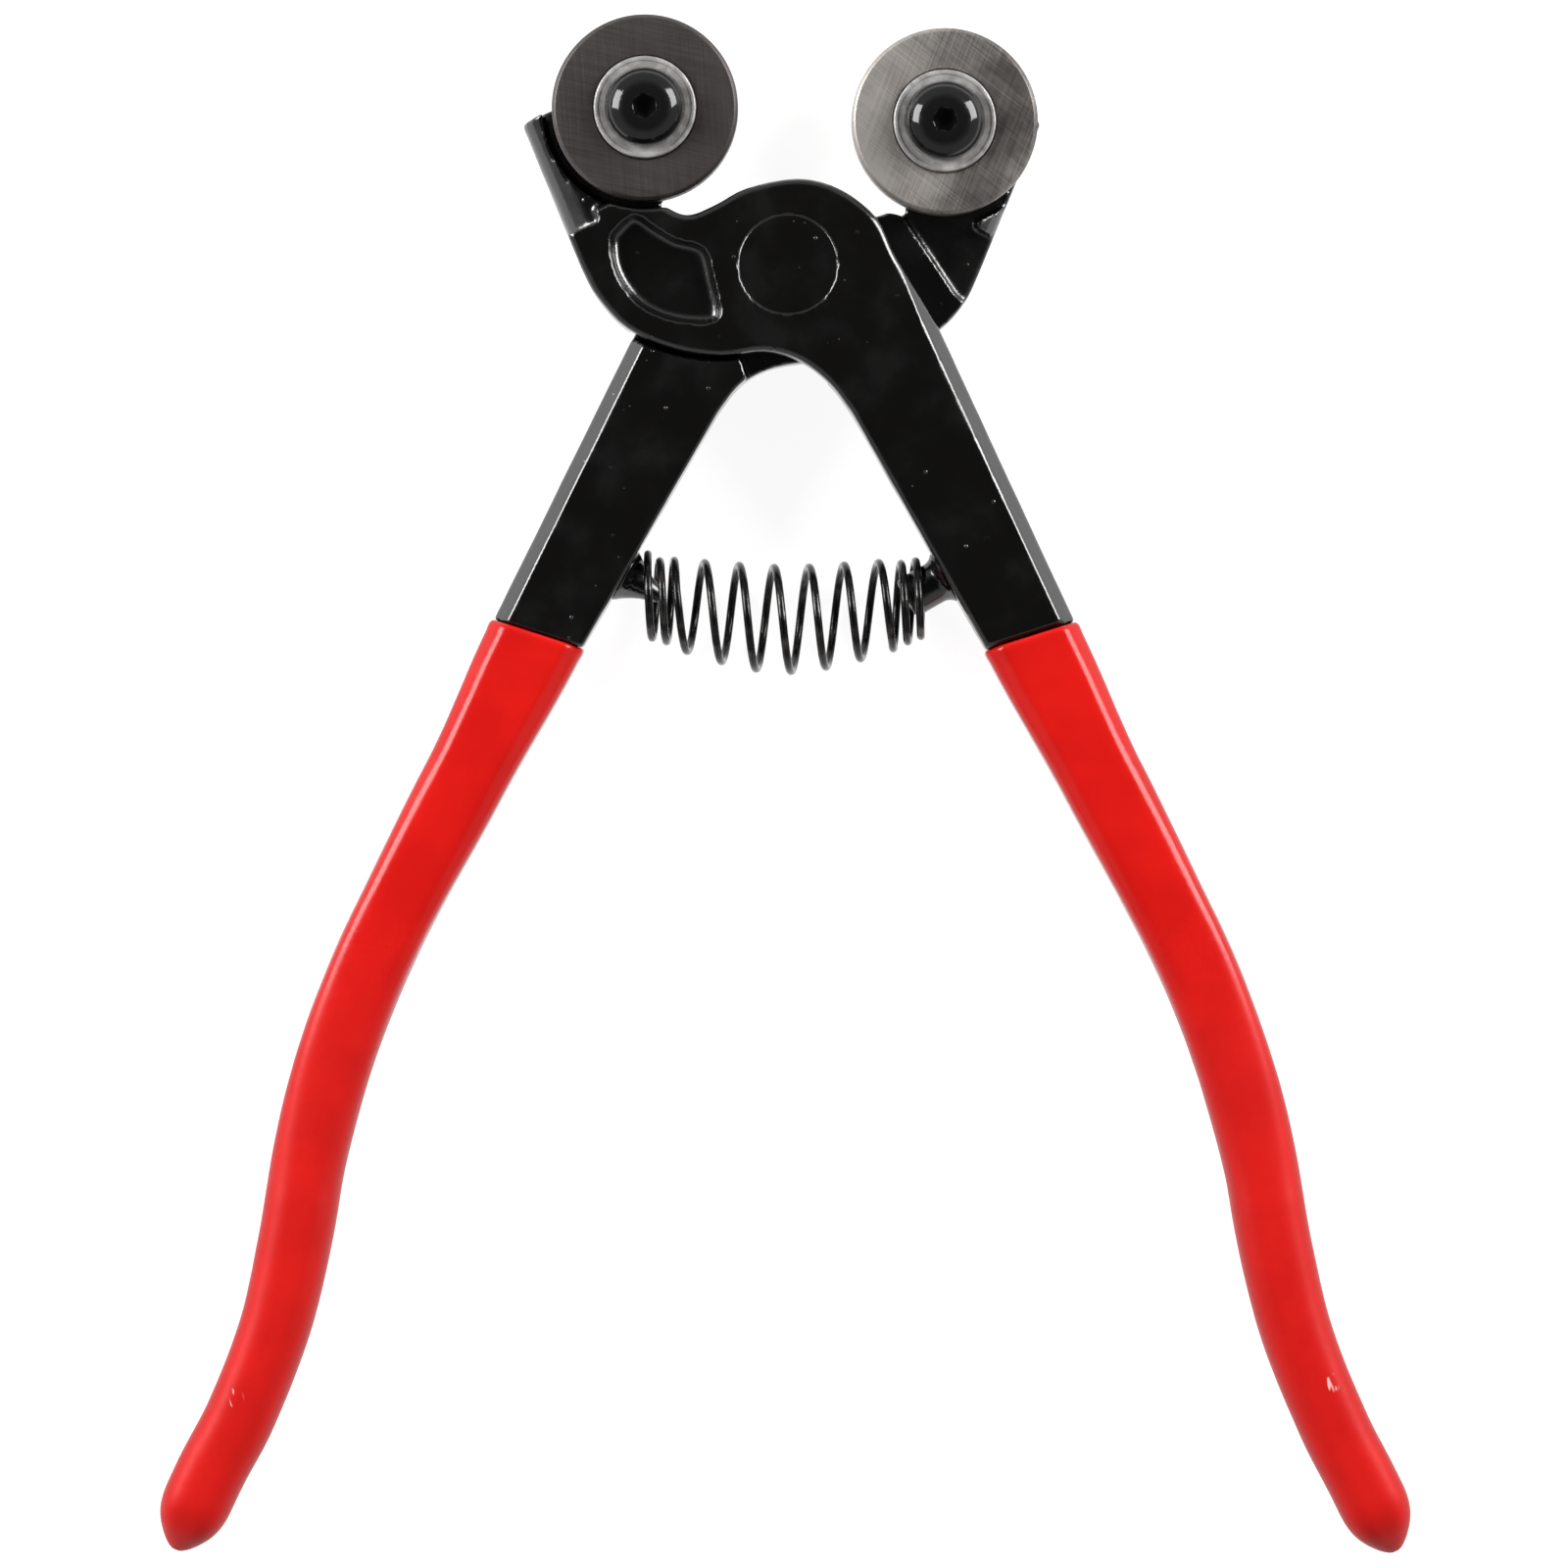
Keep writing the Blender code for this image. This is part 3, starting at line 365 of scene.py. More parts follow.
@dataclass(frozen=True)
class BlackOxide:
    """Glossy black oxide on steel, slightly uneven, with pale flecks: partly dirt, partly painted glints."""

    name: str = "black_oxide"
    colour: tuple[float, float, float] = (0.006, 0.006, 0.0065)
    dust_and_glint: tuple[float, float, float] = (0.05, 0.05, 0.05)
    roughness: tuple[float, float] = (0.06, 0.15)

    def make(self) -> bpy.types.Material:
        """Builds the material."""
        graph = Graph(self.name)
        wave = graph.noise(900.0, 3.0)
        # pale flecks on the oxide: partly dirt, partly painted glints
        dust_glint_specks = graph.dots(2600.0, 0.22, 0.03)
        graph.set(Base_Color=graph.mix(dust_glint_specks, self.colour, self.dust_and_glint),
                  Roughness=graph.ramp(wave, 0.35, 0.7, *self.roughness),
                  Specular_IOR_Level=0.42)
        graph.bump(wave, 0.02 * MM)
        return graph.material


@dataclass(frozen=True)
class OiledWire:
    """Dark drawn spring wire with draw marks and a film of oil."""

    name: str = "spring_steel"
    colour: tuple[float, float, float] = (0.014, 0.014, 0.014)
    bright: tuple[float, float, float] = (0.060, 0.058, 0.056)

    def make(self) -> bpy.types.Material:
        """Builds the material."""
        graph = Graph(self.name)
        worn = graph.noise(480.0, 3.0)
        grain = graph.noise(4200.0, 2.0)
        graph.set(Base_Color=graph.mix(graph.ramp(worn, 0.45, 0.72), self.colour, self.bright),
                  Metallic=0.8,
                  Roughness=graph.ramp(grain, 0.3, 0.7, 0.12, 0.24))
        graph.bump(grain, 0.010 * MM)
        return graph.material


@dataclass(frozen=True)
class DippedVinyl:
    """Red vinyl dipped on hot steel: a smooth skin with faint waves and pores, painted shade on its steep
    sides and two painted glints.
    """

    name: str = "red_vinyl"
    colour: tuple[float, float, float] = (0.60, 0.0090, 0.0065)
    deep: tuple[float, float, float] = (0.54, 0.0075, 0.0058)
    # darker colour of the steep sides: painted shade
    side: tuple[float, float, float] = (0.36, 0.0075, 0.0065)
    # colour of the painted glints
    glint_colour: tuple[float, float, float] = (0.80, 0.42, 0.40)
    glossy_above: float = -72.0 * MM
    handled_below: float = -98.0 * MM
    # places of the painted glints, in metres
    small_marks: tuple[tuple[float, float], ...] = ((-65.3 * MM, -133.5 * MM), (64.0 * MM, -131.8 * MM))
    glint_size: float = 1.3 * MM

    def painted_glints(self, graph: Graph) -> Socket:
        """Short pale strokes at two places: painted glints.

        Args:
            graph: The node tree to add them to.

        Returns:
            1 on a stroke.
        """
        strokes = graph.ramp(graph.noise(1.0, 0.0, graph.stretched((2600.0, 420.0, 300.0), -12.0)),
                             0.60, 0.68)
        near: object = 0.0
        for x, y in self.small_marks:
            flat = graph.node("VectorMath", {0: graph.place, 1: (1.0, 1.0, 0.0)},
                              operation="MULTIPLY").outputs[0]
            away = graph.node("VectorMath", {0: flat, 1: (x, y, 0.0)}, operation="DISTANCE").outputs["Value"]
            near = graph.maths("ADD", near, graph.ramp(away, self.glint_size * 0.5, self.glint_size, 1.0, 0.0))
        return graph.maths("MULTIPLY", near, strokes)

    def make(self) -> bpy.types.Material:
        """Builds the material."""
        graph = Graph(self.name)
        wave = graph.noise(110.0, 2.0)
        skin = graph.noise(1500.0, 3.0)
        pores = graph.dots(520.0, 0.13, 0.02)
        face = graph.mix(graph.ramp(wave, 0.35, 0.65), self.colour, self.deep)
        # painted shade: the colour darkens towards the side colour where the skin turns steep
        upright = graph.maths("ABSOLUTE", graph.node("SeparateXYZ", {0: graph.facing}).outputs[2], 0.0)
        red = graph.node("MixRGB", {0: graph.ramp(upright, 0.30, 0.90),
                                    1: (*self.side, 1.0), 2: face}).outputs[0]
        down = graph.node("SeparateXYZ", {0: graph.place}).outputs[1]
        dull = graph.ramp(down, self.handled_below, self.glossy_above, 0.26, 0.0)
        graph.set(Base_Color=graph.node("MixRGB", {0: self.painted_glints(graph), 1: red,
                                                   2: (*self.glint_colour, 1.0)}).outputs[0],
                  Roughness=graph.maths("ADD", graph.ramp(skin, 0.3, 0.7, 0.17, 0.25), dull),
                  Specular_IOR_Level=graph.ramp(down, self.handled_below, self.glossy_above, 0.15, 0.26),
                  Subsurface_Weight=0.04,
                  Subsurface_Radius=(0.0010, 0.0002, 0.0002),
                  Subsurface_Scale=1.0)
        height = graph.maths("ADD", graph.maths("MULTIPLY", wave, 0.8), graph.maths("MULTIPLY", skin, 0.05))
        graph.bump(graph.maths("SUBTRACT", height, graph.maths("MULTIPLY", pores, 0.08)), 0.10 * MM)
        return graph.material


# ---------------------------------------------------------------- meshes
def link_mesh(name: str, mesh: bpy.types.Mesh, finish: bpy.types.Material,
              smooth_below: float = 40.0) -> bpy.types.Object:
    """Puts a mesh in the scene as one piece.

    Args:
        name: Name of the piece.
        mesh: Its mesh, in the frame of the tool.
        finish: Its material.
        smooth_below: Edges flatter than this many degrees are shaded smooth.

    Returns:
        The new object.
    """
    obj = bpy.data.objects.new(name, mesh)
    bpy.context.scene.collection.objects.link(obj)
    mesh.materials.clear()
    mesh.materials.append(finish)
    mesh.shade_smooth()
    mesh.set_sharp_from_angle(angle=math.radians(smooth_below))
    return obj


def to_mesh(bm: bmesh.types.BMesh, name: str) -> bpy.types.Mesh:
    """Turns a bmesh into a mesh with its faces outwards, and frees it."""
    bmesh.ops.recalc_face_normals(bm, faces=bm.faces)
    mesh = bpy.data.meshes.new(name)
    bm.to_mesh(mesh)
    bm.free()
    return mesh


def skin_rings(rings: list[list[Vector]], closed: bool = False) -> bmesh.types.BMesh:
    """Joins rings of points into a skin, capped at both ends unless it closes on itself.

    Args:
        rings: Rings of as many points each.
        closed: Whether the last ring joins the first.

    Returns:
        The skin.
    """
    bm = bmesh.new()
    rows = [[bm.verts.new(point) for point in ring] for ring in rings]
    pairs = list(zip(rows, rows[1:])) + ([(rows[-1], rows[0])] if closed else [])
    for low, high in pairs:
        for i, corner in enumerate(low):
            j = (i + 1) % len(low)
            bm.faces.new((corner, low[j], high[j], high[i]))
    if not closed:
        bm.faces.new(list(reversed(rows[0])))
        bm.faces.new(rows[-1])
    return bm


def softened(profile: Profile, radius: float, steps: int = 3) -> Profile:
    """Rounds the corners of a turned profile.

    Args:
        profile: A closed loop of (radius, height); a corner on the axis stays.
        radius: Largest radius of the rounds.
        steps: Segments in each round.

    Returns:
        The rounded loop.
    """
    found: Profile = []
    count = len(profile)
    for i, corner in enumerate(profile):
        if corner[0] < 1e-7:
            found.append(corner)
            continue
        before, here, after = Vector(profile[i - 1]), Vector(corner), Vector(profile[(i + 1) % count])
        reach = min(radius, (before - here).length * 0.4, (after - here).length * 0.4)
        start = here + (before - here).normalized() * reach
        end = here + (after - here).normalized() * reach
        for step in range(steps + 1):
            t = step / steps
            spot = start * (1 - t) ** 2 + here * 2 * t * (1 - t) + end * t ** 2
            found.append((spot.x, spot.y))
    return found


def turned(profile: Profile, sides: int) -> bmesh.types.BMesh:
    """A solid of revolution about Z.

    Args:
        profile: A closed loop of (radius, height).
        sides: Steps round the axis.

    Returns:
        The solid.
    """
    rings = []
    for i in range(sides):
        angle = math.tau * i / sides
        rings.append([Vector((r * math.cos(angle), r * math.sin(angle), z)) for r, z in profile])
    bm = skin_rings(rings, closed=True)
    bmesh.ops.remove_doubles(bm, verts=bm.verts, dist=0.0005 * MM)
    return bm


def wavy(place: Vector, wavelength: float, seed: float) -> float:
    """Smooth noise from -1 to 1 at a place.

    Args:
        place: Where it is read.
        wavelength: Size of its waves.
        seed: Offset, for another pattern.

    Returns:
        The value.
    """
    return noise.noise(place / wavelength + Vector((seed, -seed, 2 * seed)))


def course_through(points: list[Vector], steps: int) -> list[Vector]:
    """A smooth curve through points.

    Args:
        points: What it goes through.
        steps: Samples between each two.

    Returns:
        Points along the curve.
    """
    padded = [2 * points[0] - points[1], *points, 2 * points[-1] - points[-2]]
    found = []
    for a, b, c, d in zip(padded, padded[1:], padded[2:], padded[3:]):
        for i in range(steps):
            t = i / steps
            bend = (2 * a - 5 * b + 4 * c - d) * t * t + (3 * b - a - 3 * c + d) * t ** 3
            found.append(b + ((c - a) * t + bend) / 2)
    return found + [points[-1].copy()]


class Course:
    """A smooth line in the plane of the levers that can be read at any distance."""

    def __init__(self, points: list[Vector]) -> None:
        """Measures a line.

        Args:
            points: Closely spaced points of it.
        """
        self.points = points
        self.along = [0.0]
        for a, b in zip(points, points[1:]):
            self.along.append(self.along[-1] + (b - a).length)
        self.length = self.along[-1]

    def read(self, distance: float) -> tuple[Vector, Vector]:
        """Finds a place on the line.

        Args:
            distance: Distance from its start, which may lie a little outside it.

        Returns:
            The point and the direction there.
        """
        index = int(np.clip(np.searchsorted(self.along, distance) - 1, 0, len(self.points) - 2))
        a, b = self.points[index], self.points[index + 1]
        before, after = self.points[max(index - 1, 0)], self.points[min(index + 2, len(self.points) - 1)]
        share = (distance - self.along[index]) / (self.along[index + 1] - self.along[index])
        held = min(max(share, 0.0), 1.0)
        forward = (b - before).normalized().lerp((after - a).normalized(), held)
        return a + (b - a) * share, forward.normalized()


# ---------------------------------------------------------------- sub-assemblies
@dataclass
class Lever:
    """A painted forging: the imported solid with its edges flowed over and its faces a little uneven."""

    body: Body
    mouth: tuple[float, float]
    down: tuple[float, float]
    seed: float
    voxel: float = 0.30 * MM
    rounds: int = 6
    tang_kept: float = 4.0 * MM
    waviness: float = 0.035 * MM

    def shell(self, source: bpy.types.Mesh, keep_upper: bool) -> bpy.types.Mesh:
        """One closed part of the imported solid.

        Args:
            source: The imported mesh.
            keep_upper: Whether the head and shank are kept, and not the tang.

        Returns:
            The part, closed where it was cut.
        """
        bm = bmesh.new()
        bm.from_mesh(source)
        bmesh.ops.remove_doubles(bm, verts=bm.verts, dist=0.002 * MM)
        heading = Vector((*self.down, 0.0)).normalized()
        reach = self.tang_kept if keep_upper else self.tang_kept - 1.0 * MM
        place = Vector((*self.mouth, MIDDLE)) + heading * reach
        cut = bmesh.ops.bisect_plane(bm, geom=bm.verts[:] + bm.edges[:] + bm.faces[:], plane_co=place,
                                     plane_no=heading, clear_outer=keep_upper, clear_inner=not keep_upper)
        rim = [item for item in cut["geom_cut"] if isinstance(item, bmesh.types.BMEdge)]
        bmesh.ops.holes_fill(bm, edges=rim)
        return to_mesh(bm, self.body.value)

    def flowed(self, mesh: bpy.types.Mesh) -> bpy.types.Mesh:
        """Fine even mesh of a closed shell, with every edge rounded.

        Args:
            mesh: The shell.

        Returns:
            The new mesh.
        """
        temporary = bpy.data.objects.new("flow", mesh)
        bpy.context.scene.collection.objects.link(temporary)
        remesh = temporary.modifiers.new("even", "REMESH")
        remesh.mode = "VOXEL"
        remesh.voxel_size = self.voxel
        smooth = temporary.modifiers.new("flow", "SMOOTH")
        smooth.factor = 0.5
        smooth.iterations = self.rounds
        found = bpy.data.meshes.new_from_object(
            temporary.evaluated_get(bpy.context.evaluated_depsgraph_get()))
        bpy.data.objects.remove(temporary)
        return found

    def uneven(self, mesh: bpy.types.Mesh) -> None:
        """Moves every point of a mesh a little along its normal, as a forging's faces wander.

        Args:
            mesh: The mesh to change.
        """
        places = np.empty(len(mesh.vertices) * 3)
        normals = np.empty(len(mesh.vertices) * 3)
        mesh.vertices.foreach_get("co", places)
        mesh.vertex_normals.foreach_get("vector", normals)
        places, normals = places.reshape(-1, 3), normals.reshape(-1, 3)
        pushes = [wavy(Vector(spot), FORGING_SWELL, self.seed)
                  + RIPPLE_SHARE * wavy(Vector(spot), FORGING_RIPPLE, self.seed + 3.0)
                  for spot in places]
        moved = places + normals * np.array(pushes)[:, None] * self.waviness
        mesh.vertices.foreach_set("co", moved.ravel())
        mesh.update()

    def build(self, node: bpy.types.Object, finish: bpy.types.Material) -> bpy.types.Object:
        """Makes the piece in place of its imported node.

        Args:
            node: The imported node.
            finish: The paint.

        Returns:
            The piece.
        """
        upper = self.flowed(self.shell(node.data, True))
        self.uneven(upper)
        bm = bmesh.new()
        bm.from_mesh(upper)
        bm.from_mesh(self.shell(node.data, False))
        mesh = bpy.data.meshes.new(self.body.value)
        bm.to_mesh(mesh)
        bm.free()
        piece = link_mesh(self.body.value + "_forging", mesh, finish, 60.0)
        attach(piece, self.body.value)
        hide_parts(node.name)
        return piece


@dataclass
class Rivet:
    """The pivot, painted over with the levers, so that only its rim shows."""

    gap: float = 0.04 * MM
    sunk: float = 0.01 * MM
    sides: int = 160

    def build(self, finish: bpy.types.Material) -> bpy.types.Object:
        """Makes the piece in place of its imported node.

        Args:
            finish: The paint.

        Returns:
            The piece.
        """
        low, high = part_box("pivot_rivet")
        head = (high.x - low.x) / 2 + 0.3 * MM - self.gap
        neck, deep = 4.0 * MM, 1.3 * MM
        top = high.z + 0.15 * MM - self.sunk
        spread = [(head, top - 0.70 * MM), (head + 0.03 * MM, top - 0.42 * MM),
                  (head + 0.10 * MM, top - 0.26 * MM),
                  (head + 0.22 * MM, top - 0.13 * MM), (head + 0.02 * MM, top - 0.03 * MM),
                  (head - 0.6 * MM, top)]
        foot = [(head + 0.18 * MM, low.z), (head + 0.20 * MM, 0.05 * MM), (head + 0.08 * MM, 0.22 * MM),
                (head, 0.60 * MM)]
        profile = [(0.0, low.z), *foot, (head, deep), (neck, deep), (neck, top - deep),
                   (head, top - deep), *spread,
                   (0.0, top)]
        mesh = to_mesh(turned(softened(profile, 0.05 * MM), self.sides), "pivot_rivet")
        piece = link_mesh("pivot_rivet_head", mesh, finish)
        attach(piece, Body.REAR.value)
        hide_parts("pivot_rivet")
        return piece


@dataclass
class WheelSet:
    """A cutting wheel with the bush that centres it and the screw that clamps it."""

    side: Side
    jaw: Body
    wheel_body: Body
    carbide: GroundCarbide
    screw_turn: float
    sides: int = 192
    edge: float = 0.42 * MM
    socket: float = 2.6 * MM
    socket_depth: float = 1.5 * MM

    def stand(self, bm: bmesh.types.BMesh, name: str, node: str) -> bpy.types.Mesh:
        """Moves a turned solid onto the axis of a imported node.

        Args:
            bm: The solid, about Z at the origin.
            name: Name of the mesh.
            node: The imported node.

        Returns:
            The mesh in its place.
        """
        low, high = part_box(node)
        centre = (low + high) / 2
        bmesh.ops.translate(bm, verts=bm.verts, vec=Vector((centre.x, centre.y, 0.0)))
        return to_mesh(bm, name)

    def wheel(self, finish: bpy.types.Material) -> bpy.types.Object:
        """The carbide wheel: ground faces, a fine broken edge and a recess for the bush."""
        node = self.side.word + "_cutting_wheel"
        low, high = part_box(node)
        rim, bore, recess = (high.x - low.x) / 2, 4.3 * MM, 6.2 * MM
        sunk = 0.5 * MM
        profile = [(bore, low.z), (rim - self.edge, low.z), (rim, low.z + self.edge),
                   (rim, high.z - self.edge),
                   (rim - self.edge, high.z), (recess, high.z), (recess, high.z - sunk),
                   (bore, high.z - sunk)]
        mesh = self.stand(turned(softened(profile, 0.09 * MM), self.sides), node, node)
        piece = link_mesh(node + "_ground", mesh, finish, 50.0)
        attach(piece, self.wheel_body.value)
        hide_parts(node)
        return piece

    def bush(self, finish: bpy.types.Material) -> bpy.types.Object:
        """The flanged bush, of which a ring shows round the screw's head."""
        node = self.side.word + "_wheel_bush"
        low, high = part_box(node)
        flange, barrel, bore = (high.x - low.x) / 2, 4.15 * MM, 2.8 * MM
        under = high.z - 0.8 * MM
        profile = [(bore, low.z), (barrel, low.z), (barrel, under), (flange, under),
                   (flange, high.z - 0.30 * MM),
                   (flange - 0.12 * MM, high.z - 0.02 * MM), (flange - 0.50 * MM, high.z),
                   (flange - 0.62 * MM, high.z - 0.10 * MM), (4.75 * MM, high.z - 0.10 * MM),
                   (4.6 * MM, high.z - 0.16 * MM),
                   (bore, high.z - 0.16 * MM)]
        mesh = self.stand(turned(softened(profile, 0.07 * MM, 2), self.sides), node, node)
        piece = link_mesh(node + "_flange", mesh, finish, 50.0)
        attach(piece, self.jaw.value)
        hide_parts(node)
        return piece

    def head_ring(self, radius: float, height: float, hexed: float) -> list[Vector]:
        """A ring of the screw's head, between a circle and a hexagon.

        Args:
            radius: Distance to the flats or to the circle.
            height: Height of the ring.
            hexed: 1 for a hexagon and 0 for a circle.

        Returns:
            The ring.
        """
        ring = []
        for i in range(self.sides):
            angle = math.tau * i / self.sides
            flat = (angle + math.pi / 6) % (math.pi / 3) - math.pi / 6
            reach = radius / math.cos(flat) * hexed + radius * (1 - hexed)
            turn = angle + math.radians(self.screw_turn)
            ring.append(Vector((reach * math.cos(turn), reach * math.sin(turn), height)))
        return ring

    def screw(self, finish: bpy.types.Material) -> bpy.types.Object:
        """The domed screw with its hexagon socket."""
        node = self.side.word + "_wheel_screw"
        low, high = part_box(node)
        head, shank, seat = (high.x - low.x) / 2, 2.5 * MM, high.z - 2.7 * MM
        flat = self.socket / 2
        rings = [self.head_ring(0.02 * MM, low.z, 0.0), self.head_ring(shank - 0.4 * MM, low.z, 0.0),
                 self.head_ring(shank, low.z + 0.4 * MM, 0.0), self.head_ring(shank, seat, 0.0),
                 self.head_ring(head - 0.25 * MM, seat, 0.0), self.head_ring(head, seat + 0.22 * MM, 0.0)]
        crown = high.z - seat - 0.22 * MM
        inner = flat + 0.20 * MM
        for i in range(1, 25):
            angle = math.radians(90.0) * i / 24
            radius = inner + (head - inner) * math.cos(angle)
            rings.append(self.head_ring(radius, seat + 0.22 * MM + crown * math.sin(angle) ** 0.92, 0.0))
        rings += [self.head_ring(flat + 0.08 * MM, high.z - 0.02 * MM, 0.6),
                  self.head_ring(flat + 0.01 * MM, high.z - 0.10 * MM, 1.0),
                  self.head_ring(flat - 0.02 * MM, high.z - self.socket_depth, 1.0),
                  self.head_ring(flat - 0.20 * MM, high.z - self.socket_depth - 0.05 * MM, 1.0),
                  self.head_ring(0.02 * MM, high.z - self.socket_depth - 0.35 * MM, 0.0)]
        mesh = self.stand(skin_rings(rings), node, node)
        piece = link_mesh(node + "_dome", mesh, finish, 42.0)
        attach(piece, self.jaw.value)
        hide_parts(node)
        return piece

    def build(self, steel: bpy.types.Material, oxide: bpy.types.Material) -> list[bpy.types.Object]:
        """Makes the wheel, bush and screw.

        Args:
            steel: Finish of the bush.
            oxide: Finish of the screw.

        Returns:
            The three pieces.
        """
        return [self.wheel(self.carbide.make()), self.bush(steel), self.screw(oxide)]


@dataclass
class Stud:
    """A stud on the inner side of a shank that an end of the spring sits on."""

    side: Side
    body: Body
    foot: tuple[float, float]
    out: tuple[float, float]
    profile: Profile

    @property
    def frame(self) -> Matrix:
        """Stands a piece turned about Z on the shank."""
        aim = Vector((*self.out, 0.0)).to_track_quat("Z", "Y").to_matrix().to_4x4()
        return Matrix.Translation(Vector((*self.foot, MIDDLE))) @ aim

    def build(self, finish: bpy.types.Material) -> bpy.types.Object:
        """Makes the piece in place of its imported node.

        Args:
            finish: The paint.

        Returns:
            The piece.
        """
        node = self.side.word + "_spring_stud"
        bm = turned(softened([(r * MM, z * MM) for r, z in self.profile], 0.25 * MM), 96)
        bmesh.ops.transform(bm, matrix=self.frame, verts=bm.verts)
        piece = link_mesh(node + "_turned", to_mesh(bm, node), finish, 50.0)
        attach(piece, self.body.value)
        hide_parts(node)
        return piece


@dataclass
class ReturnSpring:
    """The coil spring between the shanks: close turns on the studs, a barrel of open turns between."""

    left: Stud
    right: Stud
    wire: float = 0.95 * MM
    end_radius: float = 4.675 * MM
    shoulder_radius: float = 5.175 * MM
    middle_radius: float = 6.125 * MM
    stud_length: float = 5.2 * MM
    start: float = 2.896 * MM
    sag: float = 2.1 * MM
    hang: float = 0.425 * MM
    close_turns: float = 2.4
    free_turns: float = 6.2
    opening_turns: float = 0.8
    turn_start: float = 0.2
    pitch: float = 1.75 * MM
    steps: int = 56
    sides: int = 14
    beyond: float = 0.12

    def course(self) -> Course:
        """The middle line of the spring."""
        left_foot, left_out = Vector(self.left.foot), Vector(self.left.out)
        right_foot, right_out = Vector(self.right.foot), Vector(self.right.out)
        left_end = left_foot + left_out * self.stud_length
        right_end = right_foot + right_out * self.stud_length
        middle = (left_end + right_end) / 2 - Vector((0.0, self.sag))
        points = [left_foot + left_out * self.start, left_end, middle, right_end,
                  right_foot + right_out * self.start]
        return Course(course_through([point - Vector((0.0, self.hang)) for point in points], 24))

    def radius_at(self, inward: float) -> float:
        """Radius of the coil.

        Args:
            inward: Turns from the nearer end of the free turns, negative on a stud.

        Returns:
            The radius to the middle of the wire.
        """
        if inward > 0:
            bulge = math.sin(math.pi / 2 * min(inward / (self.free_turns / 2), 1.0))
            return self.shoulder_radius + (self.middle_radius - self.shoulder_radius) * bulge
        share = min(max(1.0 + inward / self.opening_turns, 0.0), 1.0)
        return self.end_radius + (self.shoulder_radius - self.end_radius) * share * share * (3 - 2 * share)

    def wire_line(self) -> list[Vector]:
        """Points along the middle of the wire."""
        course = self.course()
        turns = 2 * self.close_turns + self.free_turns
        close = self.close_turns * self.pitch
        heading = (Vector(self.right.foot) - Vector(self.left.foot)).normalized()
        line = []
        for i in range(round(turns * self.steps) + 1):
            turn = i / self.steps
            if turn < self.close_turns:
                distance = turn * self.pitch
            elif turn > turns - self.close_turns:
                distance = course.length - (turns - turn) * self.pitch
            else:
                share = (turn - self.close_turns) / self.free_turns
                distance = close + (course.length - 2 * close) * share
            radius = self.radius_at(min(turn, turns - turn) - self.close_turns)
            spot = course.read(distance)[0]
            angle = math.tau * (turn - self.close_turns + self.turn_start)
            rise, lift = radius * math.cos(angle), radius * math.sin(angle)
            line.append(Vector((spot.x - heading.y * rise, spot.y + heading.x * rise, MIDDLE + lift)))
        return line

    def build(self, finish: bpy.types.Material) -> bpy.types.Object:
        """Makes the spring, curved between the two levers.

        Args:
            finish: The wire's finish.

        Returns:
            The piece.
        """
        line = self.wire_line()
        tangent = (line[1] - line[0]).normalized()
        normal = tangent.orthogonal().normalized()
        rings = []
        for i, place in enumerate(line):
            ahead = (line[min(i + 1, len(line) - 1)] - line[max(i - 1, 0)]).normalized()
            normal = (tangent.rotation_difference(ahead) @ normal).normalized()
            tangent = ahead
            other = tangent.cross(normal)
            spin = [math.tau * j / self.sides for j in range(self.sides)]
            rings.append([place + (normal * math.cos(a) + other * math.sin(a)) * self.wire / 2 for a in spin])
        piece = link_mesh("return_spring_coil", to_mesh(skin_rings(rings), "return_spring"), finish, 60.0)
        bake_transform(piece)
        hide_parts("return_spring")
        return piece


